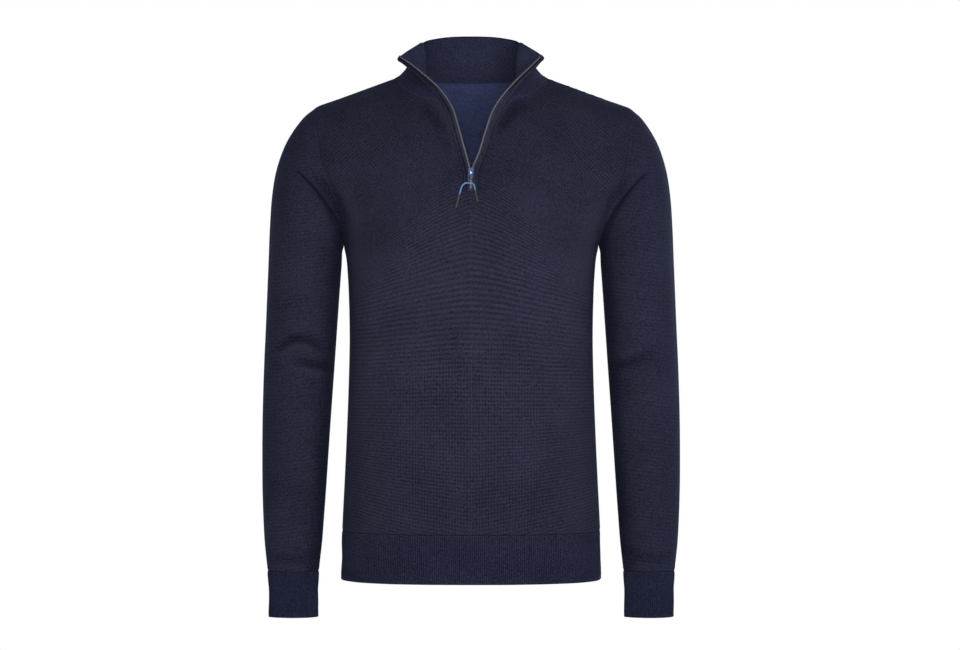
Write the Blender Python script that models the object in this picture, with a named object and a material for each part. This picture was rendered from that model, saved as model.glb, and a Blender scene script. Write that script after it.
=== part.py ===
"""A fine-knit quarter zip sweater, filled out as worn and hollow.

+Z is up, the front faces -Y and "left" is the side at -X, as seen from the front. The origin is
the middle of the neck opening, level with the points where the shoulder seams meet the collar.
Sizes are in millimetres up to make_object, which turns them into Blender's metres.

Every cloth piece is a sheet of points on the outside of the garment. Sheets that are sewn
together share their seam's points, so shared normals mitre the walls there, and each wall is
then drawn back from its edges by half of the seam gap.
"""

import math

import bpy
import numpy as np
from mathutils import Matrix, Vector
from mathutils.bvhtree import BVHTree

MM = 0.001

# Walls and gaps
JERSEY_WALL = 1.5
RIB_WALL = 2.2
COLLAR_WALL = 3.0
EDGING_WALL = 2.0
ZIP_HALF_WALL = 1.6
SEAM_GAP = 0.36
LONGEST_MITRE = 2.2  # a seam's mitre, in wall thicknesses

# Levels on the body
UNDERARM_HEIGHT = -224.0
HEM_SEAM_HEIGHT = -608.0
HEM_HEIGHT = -673.0
CUFF_SEAM_HEIGHT = -661.5
CUFF_HEIGHT = -723.0
COURSE_DIP = 19.0  # how far a course at the underarm's level rises to the centre line
COURSE_CURVE = 1.5  # exponent of a course's fall towards its side

# Shoulders and armholes
SHOULDER_SLOPE = 0.357
ARMHOLE_DEPTH = 58.0
BODY_ROUNDNESS = 2.5  # exponent of the body's superellipse section
SWELL_LEAN = 0.9  # below 1, a row's swelling lies nearer its start than its end
SEAM_RINGS = 4  # how many of the sleeve's rings the armhole's shape reaches

# The zip: a strip of edging runs beside each half
EDGING_WIDTH = 10.8
ZIP_HALF_WIDTH = 2.3
EDGING_PUFF = 0.5

# Ribs, over an inside that has fewer steps
RIB_PITCH = 2.8
RIB_DEPTH = 0.5
HEM_INNER_STEPS = 30
CUFF_INNER_STEPS = 16

# How finely each sheet is divided
ARMHOLE_ROWS = 12
SLOT_ROWS = 10
LOWER_ROWS = 10
FRONT_NECK_COLUMNS = 6
BACK_NECK_COLUMNS = 8
SHOULDER_COLUMNS = 5
COLLAR_ROWS = 6


def table(columns, *rows):
    """A table as a dictionary from column name to its values."""
    values = np.array(rows, float)
    return {name: values[:, i] for i, name in enumerate(columns.split())}


# The body below the arms, and the depth of its centre line all the way up
TORSO = table(
    "height half_width front back",
    (-673, 175.6, -118.0, 108.0),
    (-608, 173.8, -116.5, 109.0),
    (-541, 170.5, -113.0, 107.0),
    (-476, 167.5, -110.0, 103.0),
    (-412, 165.1, -108.0, 98.5),
    (-347, 163.8, -108.5, 96.5),
    (-298, 164.7, -111.5, 98.5),
    (-266, 166.2, -114.5, 101.0),
    (-240, 168.6, -116.3, 103.5),
    (-224, 171.8, -116.0, 105.0),
    (-190, 171.8, -110.5, 107.0),
    (-155, 171.8, -101.5, 106.5),
    (-124, 171.8, -93.5, 103.5),
    (-80, 171.8, -82.0, 94.0),
    (-35, 171.8, -68.5, 78.0),
    (0, 171.8, -60.0, 62.0),
)

# How far the armhole seam stands from the centre, from the shoulder tip (0) to the underarm (1)
ARMHOLE = table(
    "down left right",
    (0.00, 207.0, 214.0),
    (0.10, 206.3, 213.3),
    (0.27, 203.5, 210.5),
    (0.44, 197.0, 206.0),
    (0.55, 188.8, 201.0),
    (0.69, 179.5, 191.0),
    (0.83, 174.0, 180.0),
    (1.00, 171.8, 171.8),
)

# The sleeve's rings, by their underarm point, their outer point and their half depth
SLEEVE = table(
    "ring inner_x inner_z outer_x outer_z depth middle_y",
    (0, 171.8, -224, 210.5, -39, 58, 0),
    (1, 174.2, -233, 230.0, -55.5, 61, 0),
    (2, 174.5, -242, 250.0, -86, 63, 0),
    (3, 174.9, -252, 262.5, -121, 64, 0),
    (4, 175.7, -263, 268.6, -157, 63, -1),
    (5, 176.6, -276, 271.6, -200, 61.5, -2),
    (6, 177.8, -292, 273.4, -247, 60, -3),
    (7, 179.2, -314, 275.4, -297, 58, -4),
    (8, 181.3, -345, 277.2, -343, 55.5, -6),
    (9, 183.6, -380, 278.8, -380, 53, -8),
    (10, 186.3, -420, 280.0, -420, 50.5, -11),
    (11, 189.0, -460, 280.8, -460, 47.5, -13.5),
    (12, 191.6, -500, 281.0, -500, 44, -16),
    (13, 194.5, -545, 280.7, -545, 40.5, -18),
    (14, 197.3, -585, 279.5, -585, 37, -20),
    (15, 199.9, -620, 277.7, -620, 33.5, -21),
    (16, 202.6, -645, 275.2, -645, 29.5, -22),
    (17, 204.6, -661.5, 273.2, -661.5, 25, -22),
)
# Where the sleeve's mesh has its rings, closest together over the armpit's and elbow's folds
SLEEVE_RINGS = (0, 0.8, 1.6, 2.4, 3.2, 4.0, 4.9, 5.9, 6.9, 7.6, 8.0, 8.35, 8.7, 9.05, 9.5)
SLEEVE_RINGS += (10.3, 11.4, 12.6, 13.8, 14.9, 15.6, 16.3, 17)
CUFF_FOOT = {"inner_x": 205.4, "outer_x": 272.0, "depth": 23.0, "middle_y": -22.0}

# The line of the teeth, from the slot's foot (0) to the collar's tip (1), and how many degrees
# the edging beside them turns back from it
ZIP_LINE = table(
    "share left_x left_z right_x right_z depth turn",
    (0.000, 0.0, -155.0, 0.0, -155.0, -102.5, 6),
    (0.120, 0.0, -130.5, 0.0, -130.5, -96.3, 6),
    (0.150, 1.2, -124.8, 1.4, -124.8, -94.9, 6),
    (0.256, 6.1, -101.0, 10.3, -103.5, -90.0, 10),
    (0.407, 17.9, -71.0, 20.3, -73.4, -82.5, 15),
    (0.545, 27.2, -43.0, 31.8, -46.7, -75.0, 20),
    (0.667, 40.5, -20.5, 46.2, -25.6, -72.5, 27),
    (0.798, 60.4, -0.7, 64.7, -5.1, -76.0, 36),
    (0.918, 80.3, 15.3, 81.9, 13.4, -75.0, 48),
    (1.000, 95.0, 25.0, 93.5, 26.3, -72.0, 60),
)
NECK_SHARE = {"left": 0.62, "right": 0.655}  # where the neckline meets the edging

# The collar from its front edge (0) round to the centre back (1): foot, waist and top
COLLAR = table(
    "round foot_x foot_y foot_z waist_x waist_y waist_z top_x top_y top_z",
    (0.000, 45.0, -67.0, -35.0, 67.0, -71.5, -4.0, 92.5, -62.0, 25.5),
    (0.119, 66.0, -54.0, -30.0, 62.0, -49.5, 0.0, 84.5, -45.5, 33.0),
    (0.228, 84.0, -39.0, -20.5, 64.5, -36.0, 11.0, 68.5, -26.0, 44.5),
    (0.363, 99.0, -15.0, -5.5, 80.0, -14.0, 14.0, 70.5, -6.0, 47.0),
    (0.447, 104.0, 3.0, 1.2, 88.0, 2.0, 14.5, 70.5, 8.0, 48.0),
    (0.547, 96.0, 25.0, 2.5, 81.0, 21.0, 22.0, 67.0, 21.0, 50.0),
    (0.672, 74.0, 45.0, 1.5, 67.0, 38.0, 26.0, 60.5, 35.0, 54.0),
    (0.827, 40.0, 57.5, 0.5, 38.0, 47.5, 28.0, 34.0, 43.0, 59.0),
    (1.000, 0.0, 62.0, 0.0, 0.0, 51.0, 28.5, 0.0, 45.0, 60.4),
)
SHOULDER_ROUND = 0.447  # where the shoulder seam meets the collar
EDGE_REACH = 0.3  # how far round the collar its front edge's own shape reaches

# How rows of the front and back swell or round off, from shoulder (0) past underarm (1) to rib (2)
ROWS = table(
    "row corner front_swell back_swell",
    (0.0, 0.80, 0.0, 0.0),
    (0.3, 0.75, 4.0, 3.0),
    (0.6, 0.64, 10.0, 6.0),
    (0.83, 0.48, 10.0, 6.0),
    (1.0, 0.40, 6.0, 4.0),
    (1.25, 0.40, 1.0, 1.0),
    (2.0, 0.40, 0.0, 0.0),
)
SETTLE_ROW = 0.8  # the shoulder's and neck's shape has faded here
BLEND_ROW = 0.3  # and the corner between them has rounded off here
SOFT_LIFT = 0.85  # how much of its height the rounded corner keeps
SOFT_LIFT_POWER = 1.2

# The largest folds: troughs (depth above 0) along a bent line seen from the front or back, with
# a ridge on the side that the lip points to
FOLDS = table(
    "side face x1 z1 x2 z2 x3 z3 depth width lip",
    # Under the front and back of each armhole, from the underarm up across the sleeve
    (-1, -1, 172, -222, 187, -172, 230, -127, 10.0, 14, 4.0),
    (1, -1, 173, -222, 190, -176, 229, -133, 9.5, 14, 3.6),
    (-1, 1, 172, -222, 190, -176, 226, -134, 8.5, 14, 3.4),
    (1, 1, 172, -222, 186, -180, 224, -140, 9.0, 15, 3.2),
    # Beside the open zip, down from the collar's foot
    (-1, -1, 70, -44, 54, -60, 35, -95, 5.0, 10, -3.4),
    (1, -1, 76, -40, 58, -54, 36, -84, 6.0, 10, -3.6),
    # Over the elbows
    (-1, -1, 254, -360, 227, -350, 196, -364, 7.5, 10, 3.2),
    (-1, -1, 234, -378, 210, -385, 188, -390, 5.5, 10, 2.6),
    (1, -1, 190, -376, 216, -364, 242, -340, 5.0, 11, 2.2),
    (-1, 1, 268, -372, 235, -364, 200, -378, 5.0, 11, 2.0),
    (1, 1, 270, -360, 238, -370, 204, -362, 5.0, 11, 2.2),
    # Above the cuffs
    (-1, -1, 268, -636, 240, -644, 212, -636, 2.6, 8, 1.2),
    (1, -1, 210, -632, 236, -643, 266, -638, 2.6, 8, 1.2),
    (-1, 1, 264, -641, 240, -634, 210, -644, 2.6, 8, 1.2),
    (1, 1, 266, -634, 240, -643, 214, -638, 2.6, 8, 1.2),
    # Slack across the body
    (-1, -1, 166, -268, 130, -248, 84, -246, 3.4, 16, 1.6),
    (1, -1, 165, -276, 126, -258, 88, -256, 3.0, 16, 1.4),
    (-1, 1, 162, -250, 118, -264, 66, -266, 4.0, 16, 2.0),
    (1, 1, 164, -262, 122, -276, 56, -270, 3.6, 17, 1.6),
    (1, 1, 124, -420, 60, -434, -10, -430, 3.4, 18, 1.6),
    (-1, 1, 140, -458, 84, -448, 26, -452, 3.2, 18, 1.6),
)
FOLD_SAMPLES = 40
FOLD_FIRST = 0.12  # along its line a fold's depth follows half a wave, from this share of it
FOLD_LAST = 0.92  # to this one
FOLD_BLUNTNESS = 0.8
RIDGE_AWAY = 1.7  # from the trough to its ridge, in fold widths
FOLD_FACING = 1.6  # how soon a fold sets in where the cloth turns to its side

# The metal slider stands where the two halves part. Its middle's height, then its plates, which
# leave room for the teeth between them, and the post that parts the halves
SLIDER_HEIGHT = -130.0
SLIDER_TOP = 5.4
SLIDER_FOOT = -5.4
SLIDER_WIDTH = 7.0
SLIDER_FOOT_WIDTH = 5.4
SLIDER_CORNER = 1.2
PLATE_WALL = 1.1
PLATE_GAP = 0.45
POST_WIDTH = 1.0
POST_LENGTH = 1.5
POST_DROP = 0.1  # below the plates' top edge

# The crown on the front plate: an arched strap that the link hangs in
CROWN_WIDTH = 1.6
CROWN_LENGTH = 7.4
CROWN_RISE = 3.5
CROWN_WALL = 1.0
CROWN_MIDDLE = -1.3
CROWN_ROOT = 0.4  # how deep its feet stand in the plate
CROWN_STEPS = 8
HINGE_RISE = 1.25  # the link's top bar, out from the front plate
HINGE_DROP = 0.9  # and down from the crown's middle

# The wire link, by points on its right half: across, forwards and down from the hinge. Its foot
# is a ring turned side-on, for the cord to pass through.
LINK_WIRE = 0.6
LINK = table(
    "across forward down",
    (0.0, 0.0, 0.0),
    (1.7, 0.0, 0.0),
    (2.7, 0.0, -1.0),
    (2.9, 0.0, -3.2),
    (2.6, 0.0, -6.0),
    (1.7, 0.3, -8.4),
    (0.6, 0.8, -10.6),
)
LINK_RING = 2.2
LINK_RING_DROP = -14.2
LINK_RING_MOUTH = 27  # degrees from the ring's top to each strand of the neck
LINK_RING_POINTS = 8
LINK_LEAN = -10.5  # degrees to the left
LINK_TILT = 2.6  # degrees away from the cloth
LINK_SPACING = 1.25

# The cord, by points across and down from the ring's middle, and how far in front of the cloth
CORD_RADIUS = 1.15
CORD = table(
    "across down forward",
    (-12.7, -14.8, 1.85),
    (-11.6, -11.2, 1.95),
    (-10.3, -6.7, 2.35),
    (-7.8, -2.2, 2.9),
    (-3.8, 0.15, 3.3),
    (0.0, 0.0, 3.45),
    (3.1, 0.0, 3.3),
    (6.3, -2.2, 2.9),
    (7.5, -6.1, 2.3),
    (8.1, -9.3, 1.9),
)
CORD_SPACING = 2.4
TIP_RADIUS = 1.3
TIP_ENDS = {"left": ((-12.8, -15.25), (-17.0, -32.0)), "right": ((8.2, -9.75), (11.2, -25.0))}
TIP_FORWARD = 1.9
TIP_SIDES = 12
TIP_BEVEL = 0.3
TIP_DOME = 0.9

# Materials: colour (linear), roughness and metallic
NAVY = ((0.026, 0.028, 0.054), 0.86, 0.0)
NAVY_RIB = ((0.020, 0.023, 0.046), 0.88, 0.0)
NAVY_COLLAR = ((0.022, 0.025, 0.050), 0.86, 0.0)
NAVY_EDGING = ((0.024, 0.024, 0.046), 0.80, 0.0)
ZIP_GREY = ((0.16, 0.16, 0.22), 0.42, 0.3)
BLUE_METAL = ((0.36, 0.47, 0.70), 0.25, 1.0)
BRIGHT_CORD = ((0.20, 0.42, 0.80), 0.6, 0.0)
TIP_DARK = ((0.06, 0.062, 0.058), 0.45, 0.0)

SIDES = {"left": -1, "right": 1}


def smooth(along, values, at):
    """A smooth curve through the values, for along rising."""
    slope = np.gradient(values, along)
    at = np.clip(at, along[0], along[-1])
    cell = np.clip(np.searchsorted(along, at) - 1, 0, len(along) - 2)
    width = along[cell + 1] - along[cell]
    t = (at - along[cell]) / width
    start = values[cell] * (1 + 2 * t) * (1 - t) ** 2 + slope[cell] * width * t * (1 - t) ** 2
    end = values[cell + 1] * t**2 * (3 - 2 * t) - slope[cell + 1] * width * t**2 * (1 - t)
    return start + end


def read(rows, column, along, at):
    return smooth(rows[along], rows[column], np.asarray(at, float))


def ease(t):
    t = np.clip(t, 0.0, 1.0)
    return t * t * (3 - 2 * t)


def stack(*parts):
    return np.stack(np.broadcast_arrays(*parts), axis=-1).astype(float)


def unit(vectors):
    length = np.linalg.norm(vectors, axis=-1, keepdims=True)
    return vectors / np.maximum(length, 1e-9)


def mirrored(points, sign):
    return points * np.array([sign, 1.0, 1.0])


# ---- Lines on the garment. Each gives points for a side with +X outwards, mirrored by its user.


def armhole(turn, side, face):
    """The armhole seam from the shoulder tip (0) to the underarm (1), on the front (-1) or back (1)."""
    angle = math.pi * np.asarray(turn, float)
    down = (1 - np.cos(angle)) / 2
    reach = read(ARMHOLE, side, "down", down)
    tip_height = shoulder_height(ARMHOLE[side][0])
    height = tip_height + (UNDERARM_HEIGHT - tip_height) * down
    return stack(reach, face * ARMHOLE_DEPTH * np.sin(angle), height)


def shoulder_height(reach):
    return -SHOULDER_SLOPE * (reach - COLLAR["foot_x"].max())


def tooth_line(share, side):
    """The zip's teeth: points, and the direction across the edging towards the cloth."""
    step = 0.01
    share = np.asarray(share, float)

    def front_view(at):
        reach = np.maximum(read(ZIP_LINE, side + "_x", "share", at), 0.0)
        return stack(reach, read(ZIP_LINE, side + "_z", "share", at))

    before = front_view(np.maximum(share - step, 0))
    after = front_view(np.minimum(share + step, 1))
    run = unit(after - before)
    flat = front_view(share)
    depth = read(ZIP_LINE, "depth", "share", share)
    turn = np.radians(read(ZIP_LINE, "turn", "share", share))
    across = stack(run[..., 1] * np.cos(turn), np.sin(turn), -run[..., 0] * np.cos(turn))
    return stack(flat[..., 0], depth, flat[..., 1]), across


def edging_line(share, side, across):
    """A line along the edging, from the teeth (0) to the groove beside the cloth (1)."""
    teeth, outwards = tooth_line(share, side)
    return teeth + outwards * EDGING_WIDTH * across


def collar_point(round_share, height, side):
    """The collar's outside, from its front edge (0) to the centre back (1) and foot (0) to top (1)."""
    round_share, height = np.broadcast_arrays(np.asarray(round_share, float), np.asarray(height, float))
    weights = {
        "foot": 2 * (height - 0.5) * (height - 1),
        "waist": 4 * height * (1 - height),
        "top": 2 * height * (height - 0.5),
    }
    along = np.append(COLLAR["round"], 2 - COLLAR["round"][-2])
    point = np.zeros(round_share.shape + (3,))
    for level, weight in weights.items():
        for axis, sign in (("x", -1), ("y", 1), ("z", 1)):
            column = COLLAR[f"{level}_{axis}"]
            values = np.append(column, sign * column[-2])
            point[..., "xyz".index(axis)] += weight * smooth(along, values, round_share)
    # The front edge follows the edging, which lies differently on each side
    edge_fade = np.clip(1 - round_share / EDGE_REACH, 0, 1) ** 2
    if edge_fade.any():
        neck = NECK_SHARE[side]
        edge = edging_line(neck + (1 - neck) * height, side, 1.0)
        plain = collar_point_at_edge(weights)
        point += (edge - plain) * edge_fade[..., None]
    return point


def collar_point_at_edge(weights):
    point = 0.0
    for level, weight in weights.items():
        corner = np.array([COLLAR[f"{level}_{axis}"][0] for axis in "xyz"])
        point = point + weight[..., None] * corner
    return point


def neckline(round_share, side):
    return collar_point(round_share, 0.0, side)


# ---- The front and back panels


def seam_share(columns, neck_columns, face):
    """Where each column of a panel's top edge lies: its place round the collar, or along the shoulder."""
    index = np.arange(columns + 1)
    neck = np.minimum(index / neck_columns, 1.0)
    round_share = SHOULDER_ROUND * neck if face < 0 else 1 - (1 - SHOULDER_ROUND) * neck
    shoulder = np.maximum(index - neck_columns, 0) / (columns - neck_columns)
    return round_share, shoulder


def top_edge(columns, neck_columns, side, face):
    """The neckline and the shoulder seam, from the front edge or centre back to the shoulder tip."""
    round_share, shoulder = seam_share(columns, neck_columns, face)
    neck = neckline(round_share, side)
    tip = armhole(0.0, side, face)
    return neck + (tip - neck) * shoulder[:, None]


def inner_end(row, side, face):
    """Where a row starts: on the edging's groove, below the slot, or on the centre back."""
    slot_row = SLOT_ROWS / ARMHOLE_ROWS
    if face < 0 and row <= slot_row:
        return edging_line(NECK_SHARE[side] * (1 - row / slot_row), side, 1.0)
    start_row, start_height = (slot_row, ZIP_LINE["left_z"][0]) if face < 0 else (0.0, 0.0)
    level_height = UNDERARM_HEIGHT + COURSE_DIP
    if row <= 1:
        height = start_height + (level_height - start_height) * (row - start_row) / (1 - start_row)
    else:
        height = level_height + (HEM_SEAM_HEIGHT - level_height) * (row - 1)
    slot_half = edging_line(0.0, side, 1.0)[0]
    reach = slot_half if face < 0 else 0.0
    return stack(reach, read(TORSO, "front" if face < 0 else "back", "height", height), height)


def outer_end(row, side, face):
    """Where a row ends: on the armhole or the side seam."""
    if row <= 1:
        return armhole(row, side, face)
    height = UNDERARM_HEIGHT + (HEM_SEAM_HEIGHT - UNDERARM_HEIGHT) * (row - 1)
    return stack(read(TORSO, "half_width", "height", height), 0.0, height)


def base_row(row, spread, side, face):
    """A row of the panel before the neck and shoulder shape it; spread is each column's share across."""
    start, end = inner_end(row, side, face), outer_end(row, side, face)
    reach = start[0] + (end[0] - start[0]) * spread
    corner = read(ROWS, "corner", "row", row)
    start_fall = 1 - (start[0] / end[0]) ** BODY_ROUNDNESS
    fall = np.clip(1 - (reach / end[0]) ** BODY_ROUNDNESS, 0, None) / start_fall
    depth = end[1] + (start[1] - end[1]) * fall**corner
    swell = read(ROWS, "front_swell" if face < 0 else "back_swell", "row", row)
    depth += face * swell * np.sin(math.pi * spread**SWELL_LEAN)
    height = start[2] + (end[2] - start[2]) * spread**COURSE_CURVE
    return stack(reach, depth, height)


def even_spread(row, columns, side, face):
    """Columns spaced evenly round the body's section."""
    start, end = inner_end(row, side, face), outer_end(row, side, face)
    first = math.asin((start[0] / end[0]) ** (BODY_ROUNDNESS / 2))
    angle = first + (math.pi / 2 - first) * np.linspace(0, 1, columns + 1)
    reach = end[0] * np.sin(angle) ** (2 / BODY_ROUNDNESS)
    return np.clip((reach - start[0]) / (end[0] - start[0]), 0, 1)


def panel_rows(columns, neck_columns, side, face):
    """The panel's half as rows of points, from the shoulder seam down to the rib."""
    top = top_edge(columns, neck_columns, side, face)
    top_spread = (top[:, 0] - top[0, 0]) / (top[-1, 0] - top[0, 0])
    lift = top - base_row(0.0, top_spread, side, face)
    share = np.linspace(0, 1, columns + 1)
    halfway_at_neck = share ** (math.log(0.5) / math.log(neck_columns / columns))
    hump = np.sin(math.pi * halfway_at_neck) ** SOFT_LIFT_POWER
    soft_lift = lift[neck_columns] * hump[:, None] * SOFT_LIFT
    rows = []
    for row in panel_row_places():
        settle = min(row / SETTLE_ROW, 1.0)
        even = even_spread(row, columns, side, face)
        spread = top_spread + (even - top_spread) * ease(settle)
        softness = ease(row / BLEND_ROW)
        shape = lift * (1 - softness) + soft_lift * softness
        quarter = settle * math.pi / 2
        shape = shape * np.array([0, 1 - math.sin(quarter), math.cos(quarter)])
        rows.append(base_row(row, spread, side, face) + shape)
    return np.array(rows)


def panel_row_places():
    upper = np.arange(ARMHOLE_ROWS + 1) / ARMHOLE_ROWS
    lower = 1 + np.arange(1, LOWER_ROWS + 1) / LOWER_ROWS
    return np.concatenate([upper, lower])


# ---- Sheets: points and quads, before they get a wall


class Sheet:
    """The outside of one cloth piece. Faces wind anticlockwise as seen from outside."""

    def __init__(self, name, wall, finish):
        self.name = name
        self.wall = wall
        self.finish = finish
        self.points = np.zeros((0, 3))
        self.faces = []
        self.normals = None

    def add_grid(self, grid, flip=False):
        """Adds rows of points, as quads between neighbouring rows and columns."""
        rows, columns = grid.shape[:2]
        first = len(self.points)
        self.points = np.concatenate([self.points, grid.reshape(-1, 3)])
        for i in range(rows - 1):
            for j in range(columns - 1):
                a = first + i * columns + j
                quad = (a, a + columns, a + columns + 1, a + 1)
                self.faces.append(quad[::-1] if flip else quad)

    def weld(self):
        """Makes one point of those that coincide."""
        keys = np.round(self.points, 4)
        _, first, index = np.unique(keys, axis=0, return_index=True, return_inverse=True)
        index = index.reshape(-1)
        self.points = self.points[first]
        self.faces = [tuple(int(index[i]) for i in face) for face in self.faces]

    def own_normals(self):
        total = np.zeros_like(self.points)
        for face in self.faces:
            a, b, c, d = (self.points[i] for i in face)
            area = np.cross(c - a, d - b)
            for i in face:
                total[i] += area
        return unit(total)


def share_normals(sheets):
    """Gives points that sheets have in common one normal, and level rims at the ribs' seams."""
    total = {}
    for sheet in sheets:
        for point, normal in zip(sheet.points, sheet.own_normals()):
            key = tuple(np.round(point, 3))
            total[key] = total.get(key, 0) + normal
    for sheet in sheets:
        normals = np.array([total[tuple(np.round(point, 3))] for point in sheet.points])
        for seam_height in (HEM_SEAM_HEIGHT, CUFF_SEAM_HEIGHT):
            normals[np.isclose(sheet.points[:, 2], seam_height), 2] = 0
        sheet.normals = unit(normals)


def fold_shift(points, normals):
    """How far each point moves along its normal for the folds."""
    shift = np.zeros(len(points))
    for fold in zip(*(FOLDS[name] for name in FOLDS)):
        side, face, x1, z1, x2, z2, x3, z3, depth, width, lip = fold
        t = np.linspace(0, 1, FOLD_SAMPLES)[:, None]
        start, middle, end = (np.array(p) for p in ((x1, z1), (x2, z2), (x3, z3)))
        line = start * 2 * (t - 0.5) * (t - 1) + middle * 4 * t * (1 - t) + end * 2 * t * (t - 0.5)
        flat = points[:, [0, 2]] * np.array([side, 1.0])
        away = flat[:, None, :] - line[None, :, :]
        gaps = np.linalg.norm(away, axis=2)
        nearest = gaps.argmin(axis=1)
        gap = gaps[np.arange(len(points)), nearest]
        run = np.gradient(line, axis=0)[nearest]
        offset = away[np.arange(len(points)), nearest]
        turned = np.sign(run[:, 0] * offset[:, 1] - run[:, 1] * offset[:, 0])
        wave = FOLD_FIRST + (FOLD_LAST - FOLD_FIRST) * t[nearest, 0]
        taper = np.sin(math.pi * wave) ** FOLD_BLUNTNESS
        trough = -depth * np.exp(-((gap / width) ** 2))
        ridge = abs(lip) * np.exp(-((gap / width - RIDGE_AWAY) ** 2)) * (turned * np.sign(lip) > 0)
        facing = ease(normals[:, 1] * face * FOLD_FACING)
        shift += (trough + ridge) * taper * facing
    return shift


def borders(faces):
    """For each border point, the points before and after it along the border, in face order."""
    directed = set()
    for face in faces:
        for a, b in zip(face, face[1:] + face[:1]):
            directed.add((a, b))
    edges = [(a, b) for a, b in directed if (b, a) not in directed]
    after = {a: b for a, b in edges}
    before = {b: a for a, b in edges}
    return edges, before, after


def inset(points, normals, faces, gap):
    """How far each border point moves inwards, so that both of its border edges move by the gap."""
    sharpest = 0.4  # keeps a sharp corner's point from running far inwards
    edges, before, after = borders(faces)
    move = np.zeros_like(points)
    for point in after:
        normal = normals[point]
        inwards = []
        for a, b in ((before[point], point), (point, after[point])):
            run = points[b] - points[a]
            inwards.append(unit(np.cross(normal, run - normal * run.dot(normal))))
        both = inwards[0] + inwards[1]
        move[point] = gap * both / max(1 + inwards[0].dot(inwards[1]), sharpest)
    return edges, move


def walled(sheet):
    """The sheet as a closed solid: its outside, its inside and the rims between them."""
    own = sheet.own_normals()
    lean = np.clip((own * sheet.normals).sum(axis=1), 1 / LONGEST_MITRE, 1)
    edges, move = inset(sheet.points, sheet.normals, sheet.faces, SEAM_GAP / 2)
    outside = sheet.points + move
    inside = outside - sheet.normals * (sheet.wall / lean)[:, None]
    count = len(outside)
    faces = list(sheet.faces)
    faces += [tuple(i + count for i in reversed(face)) for face in sheet.faces]
    faces += [(b, a, a + count, b + count) for a, b in edges]
    return np.concatenate([outside, inside]), faces


# ---- Objects


def make_material(name, finish):
    colour, roughness, metallic = finish
    material = bpy.data.materials.new(name)
    material.use_nodes = True
    shader = material.node_tree.nodes["Principled BSDF"]
    shader.inputs["Base Color"].default_value = (*colour, 1)
    shader.inputs["Roughness"].default_value = roughness
    shader.inputs["Metallic"].default_value = metallic
    return material


def make_object(name, points, faces, finish, sharp_degrees=50):
    mesh = bpy.data.meshes.new(name)
    mesh.from_pydata([tuple(point) for point in points * MM], [], faces)
    mesh.update()
    mesh.shade_smooth()
    mesh.set_sharp_from_angle(angle=math.radians(sharp_degrees))
    mesh.materials.append(make_material(name, finish))
    thing = bpy.data.objects.new(name, mesh)
    bpy.context.scene.collection.objects.link(thing)
    return thing


# ---- Cloth pieces


def front_panel():
    columns = FRONT_NECK_COLUMNS + SHOULDER_COLUMNS
    sheet = Sheet("front_panel", JERSEY_WALL, NAVY)
    feet = []
    for side, sign in SIDES.items():
        half = mirrored(panel_rows(columns, FRONT_NECK_COLUMNS, side, -1), sign)
        sheet.add_grid(half, flip=sign < 0)
        feet.append(half[SLOT_ROWS:, 0])
    left, right = feet
    middle = (left + right) / 2
    sheet.add_grid(np.stack([left, middle, right], axis=1))
    sheet.weld()
    return sheet


def back_panel():
    columns = BACK_NECK_COLUMNS + SHOULDER_COLUMNS
    sheet = Sheet("back_panel", JERSEY_WALL, NAVY)
    for side, sign in SIDES.items():
        half = mirrored(panel_rows(columns, BACK_NECK_COLUMNS, side, 1), sign)
        sheet.add_grid(half, flip=sign > 0)
    sheet.weld()
    return sheet


def ring_at(ring, side, turn):
    """A ring of the sleeve, from the shoulder (turn 0) to the underarm, over the front (-1) or back (1)."""
    angle = math.pi * np.abs(turn)
    face = np.where(np.asarray(turn) < 0, -1, 1)
    values = {name: read(SLEEVE, name, "ring", ring) for name in SLEEVE if name != "ring"}
    out = (1 + np.cos(angle)) / 2
    reach = values["inner_x"] + (values["outer_x"] - values["inner_x"]) * out
    height = values["inner_z"] + (values["outer_z"] - values["inner_z"]) * out
    plain = stack(reach, values["middle_y"] + face * values["depth"] * np.sin(angle), height)
    seam_fade = max(0.0, 1 - ring / SEAM_RINGS) ** 2
    if seam_fade == 0:
        return plain
    first = {name: SLEEVE[name][0] for name in SLEEVE}
    seam_plain = stack(
        first["inner_x"] + (first["outer_x"] - first["inner_x"]) * out,
        first["middle_y"] + face * first["depth"] * np.sin(angle),
        first["inner_z"] + (first["outer_z"] - first["inner_z"]) * out,
    )
    front_seam, back_seam = (armhole(np.abs(turn), side, one) for one in (-1, 1))
    seam = np.where((face < 0)[..., None], front_seam, back_seam)
    return plain + (seam - seam_plain) * seam_fade


def sleeve(side, sign):
    sheet = Sheet(f"sleeve_{side}", JERSEY_WALL, NAVY)
    turns = np.arange(-ARMHOLE_ROWS, ARMHOLE_ROWS + 1) / ARMHOLE_ROWS
    grid = np.array([ring_at(ring, side, turns) for ring in SLEEVE_RINGS])
    sheet.add_grid(mirrored(grid, sign), flip=sign < 0)
    sheet.weld()
    return sheet


def collar():
    sheet = Sheet("collar", COLLAR_WALL, NAVY_COLLAR)
    front = SHOULDER_ROUND * np.arange(FRONT_NECK_COLUMNS + 1) / FRONT_NECK_COLUMNS
    back = 1 - (1 - SHOULDER_ROUND) * np.arange(BACK_NECK_COLUMNS + 1)[::-1] / BACK_NECK_COLUMNS
    around = np.concatenate([front, back[1:]])
    heights = np.arange(COLLAR_ROWS + 1) / COLLAR_ROWS
    for side, sign in SIDES.items():
        half = mirrored(collar_point(around[None, :], heights[:, None], side), sign)
        sheet.add_grid(half, flip=sign > 0)
    sheet.weld()
    return sheet


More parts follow.
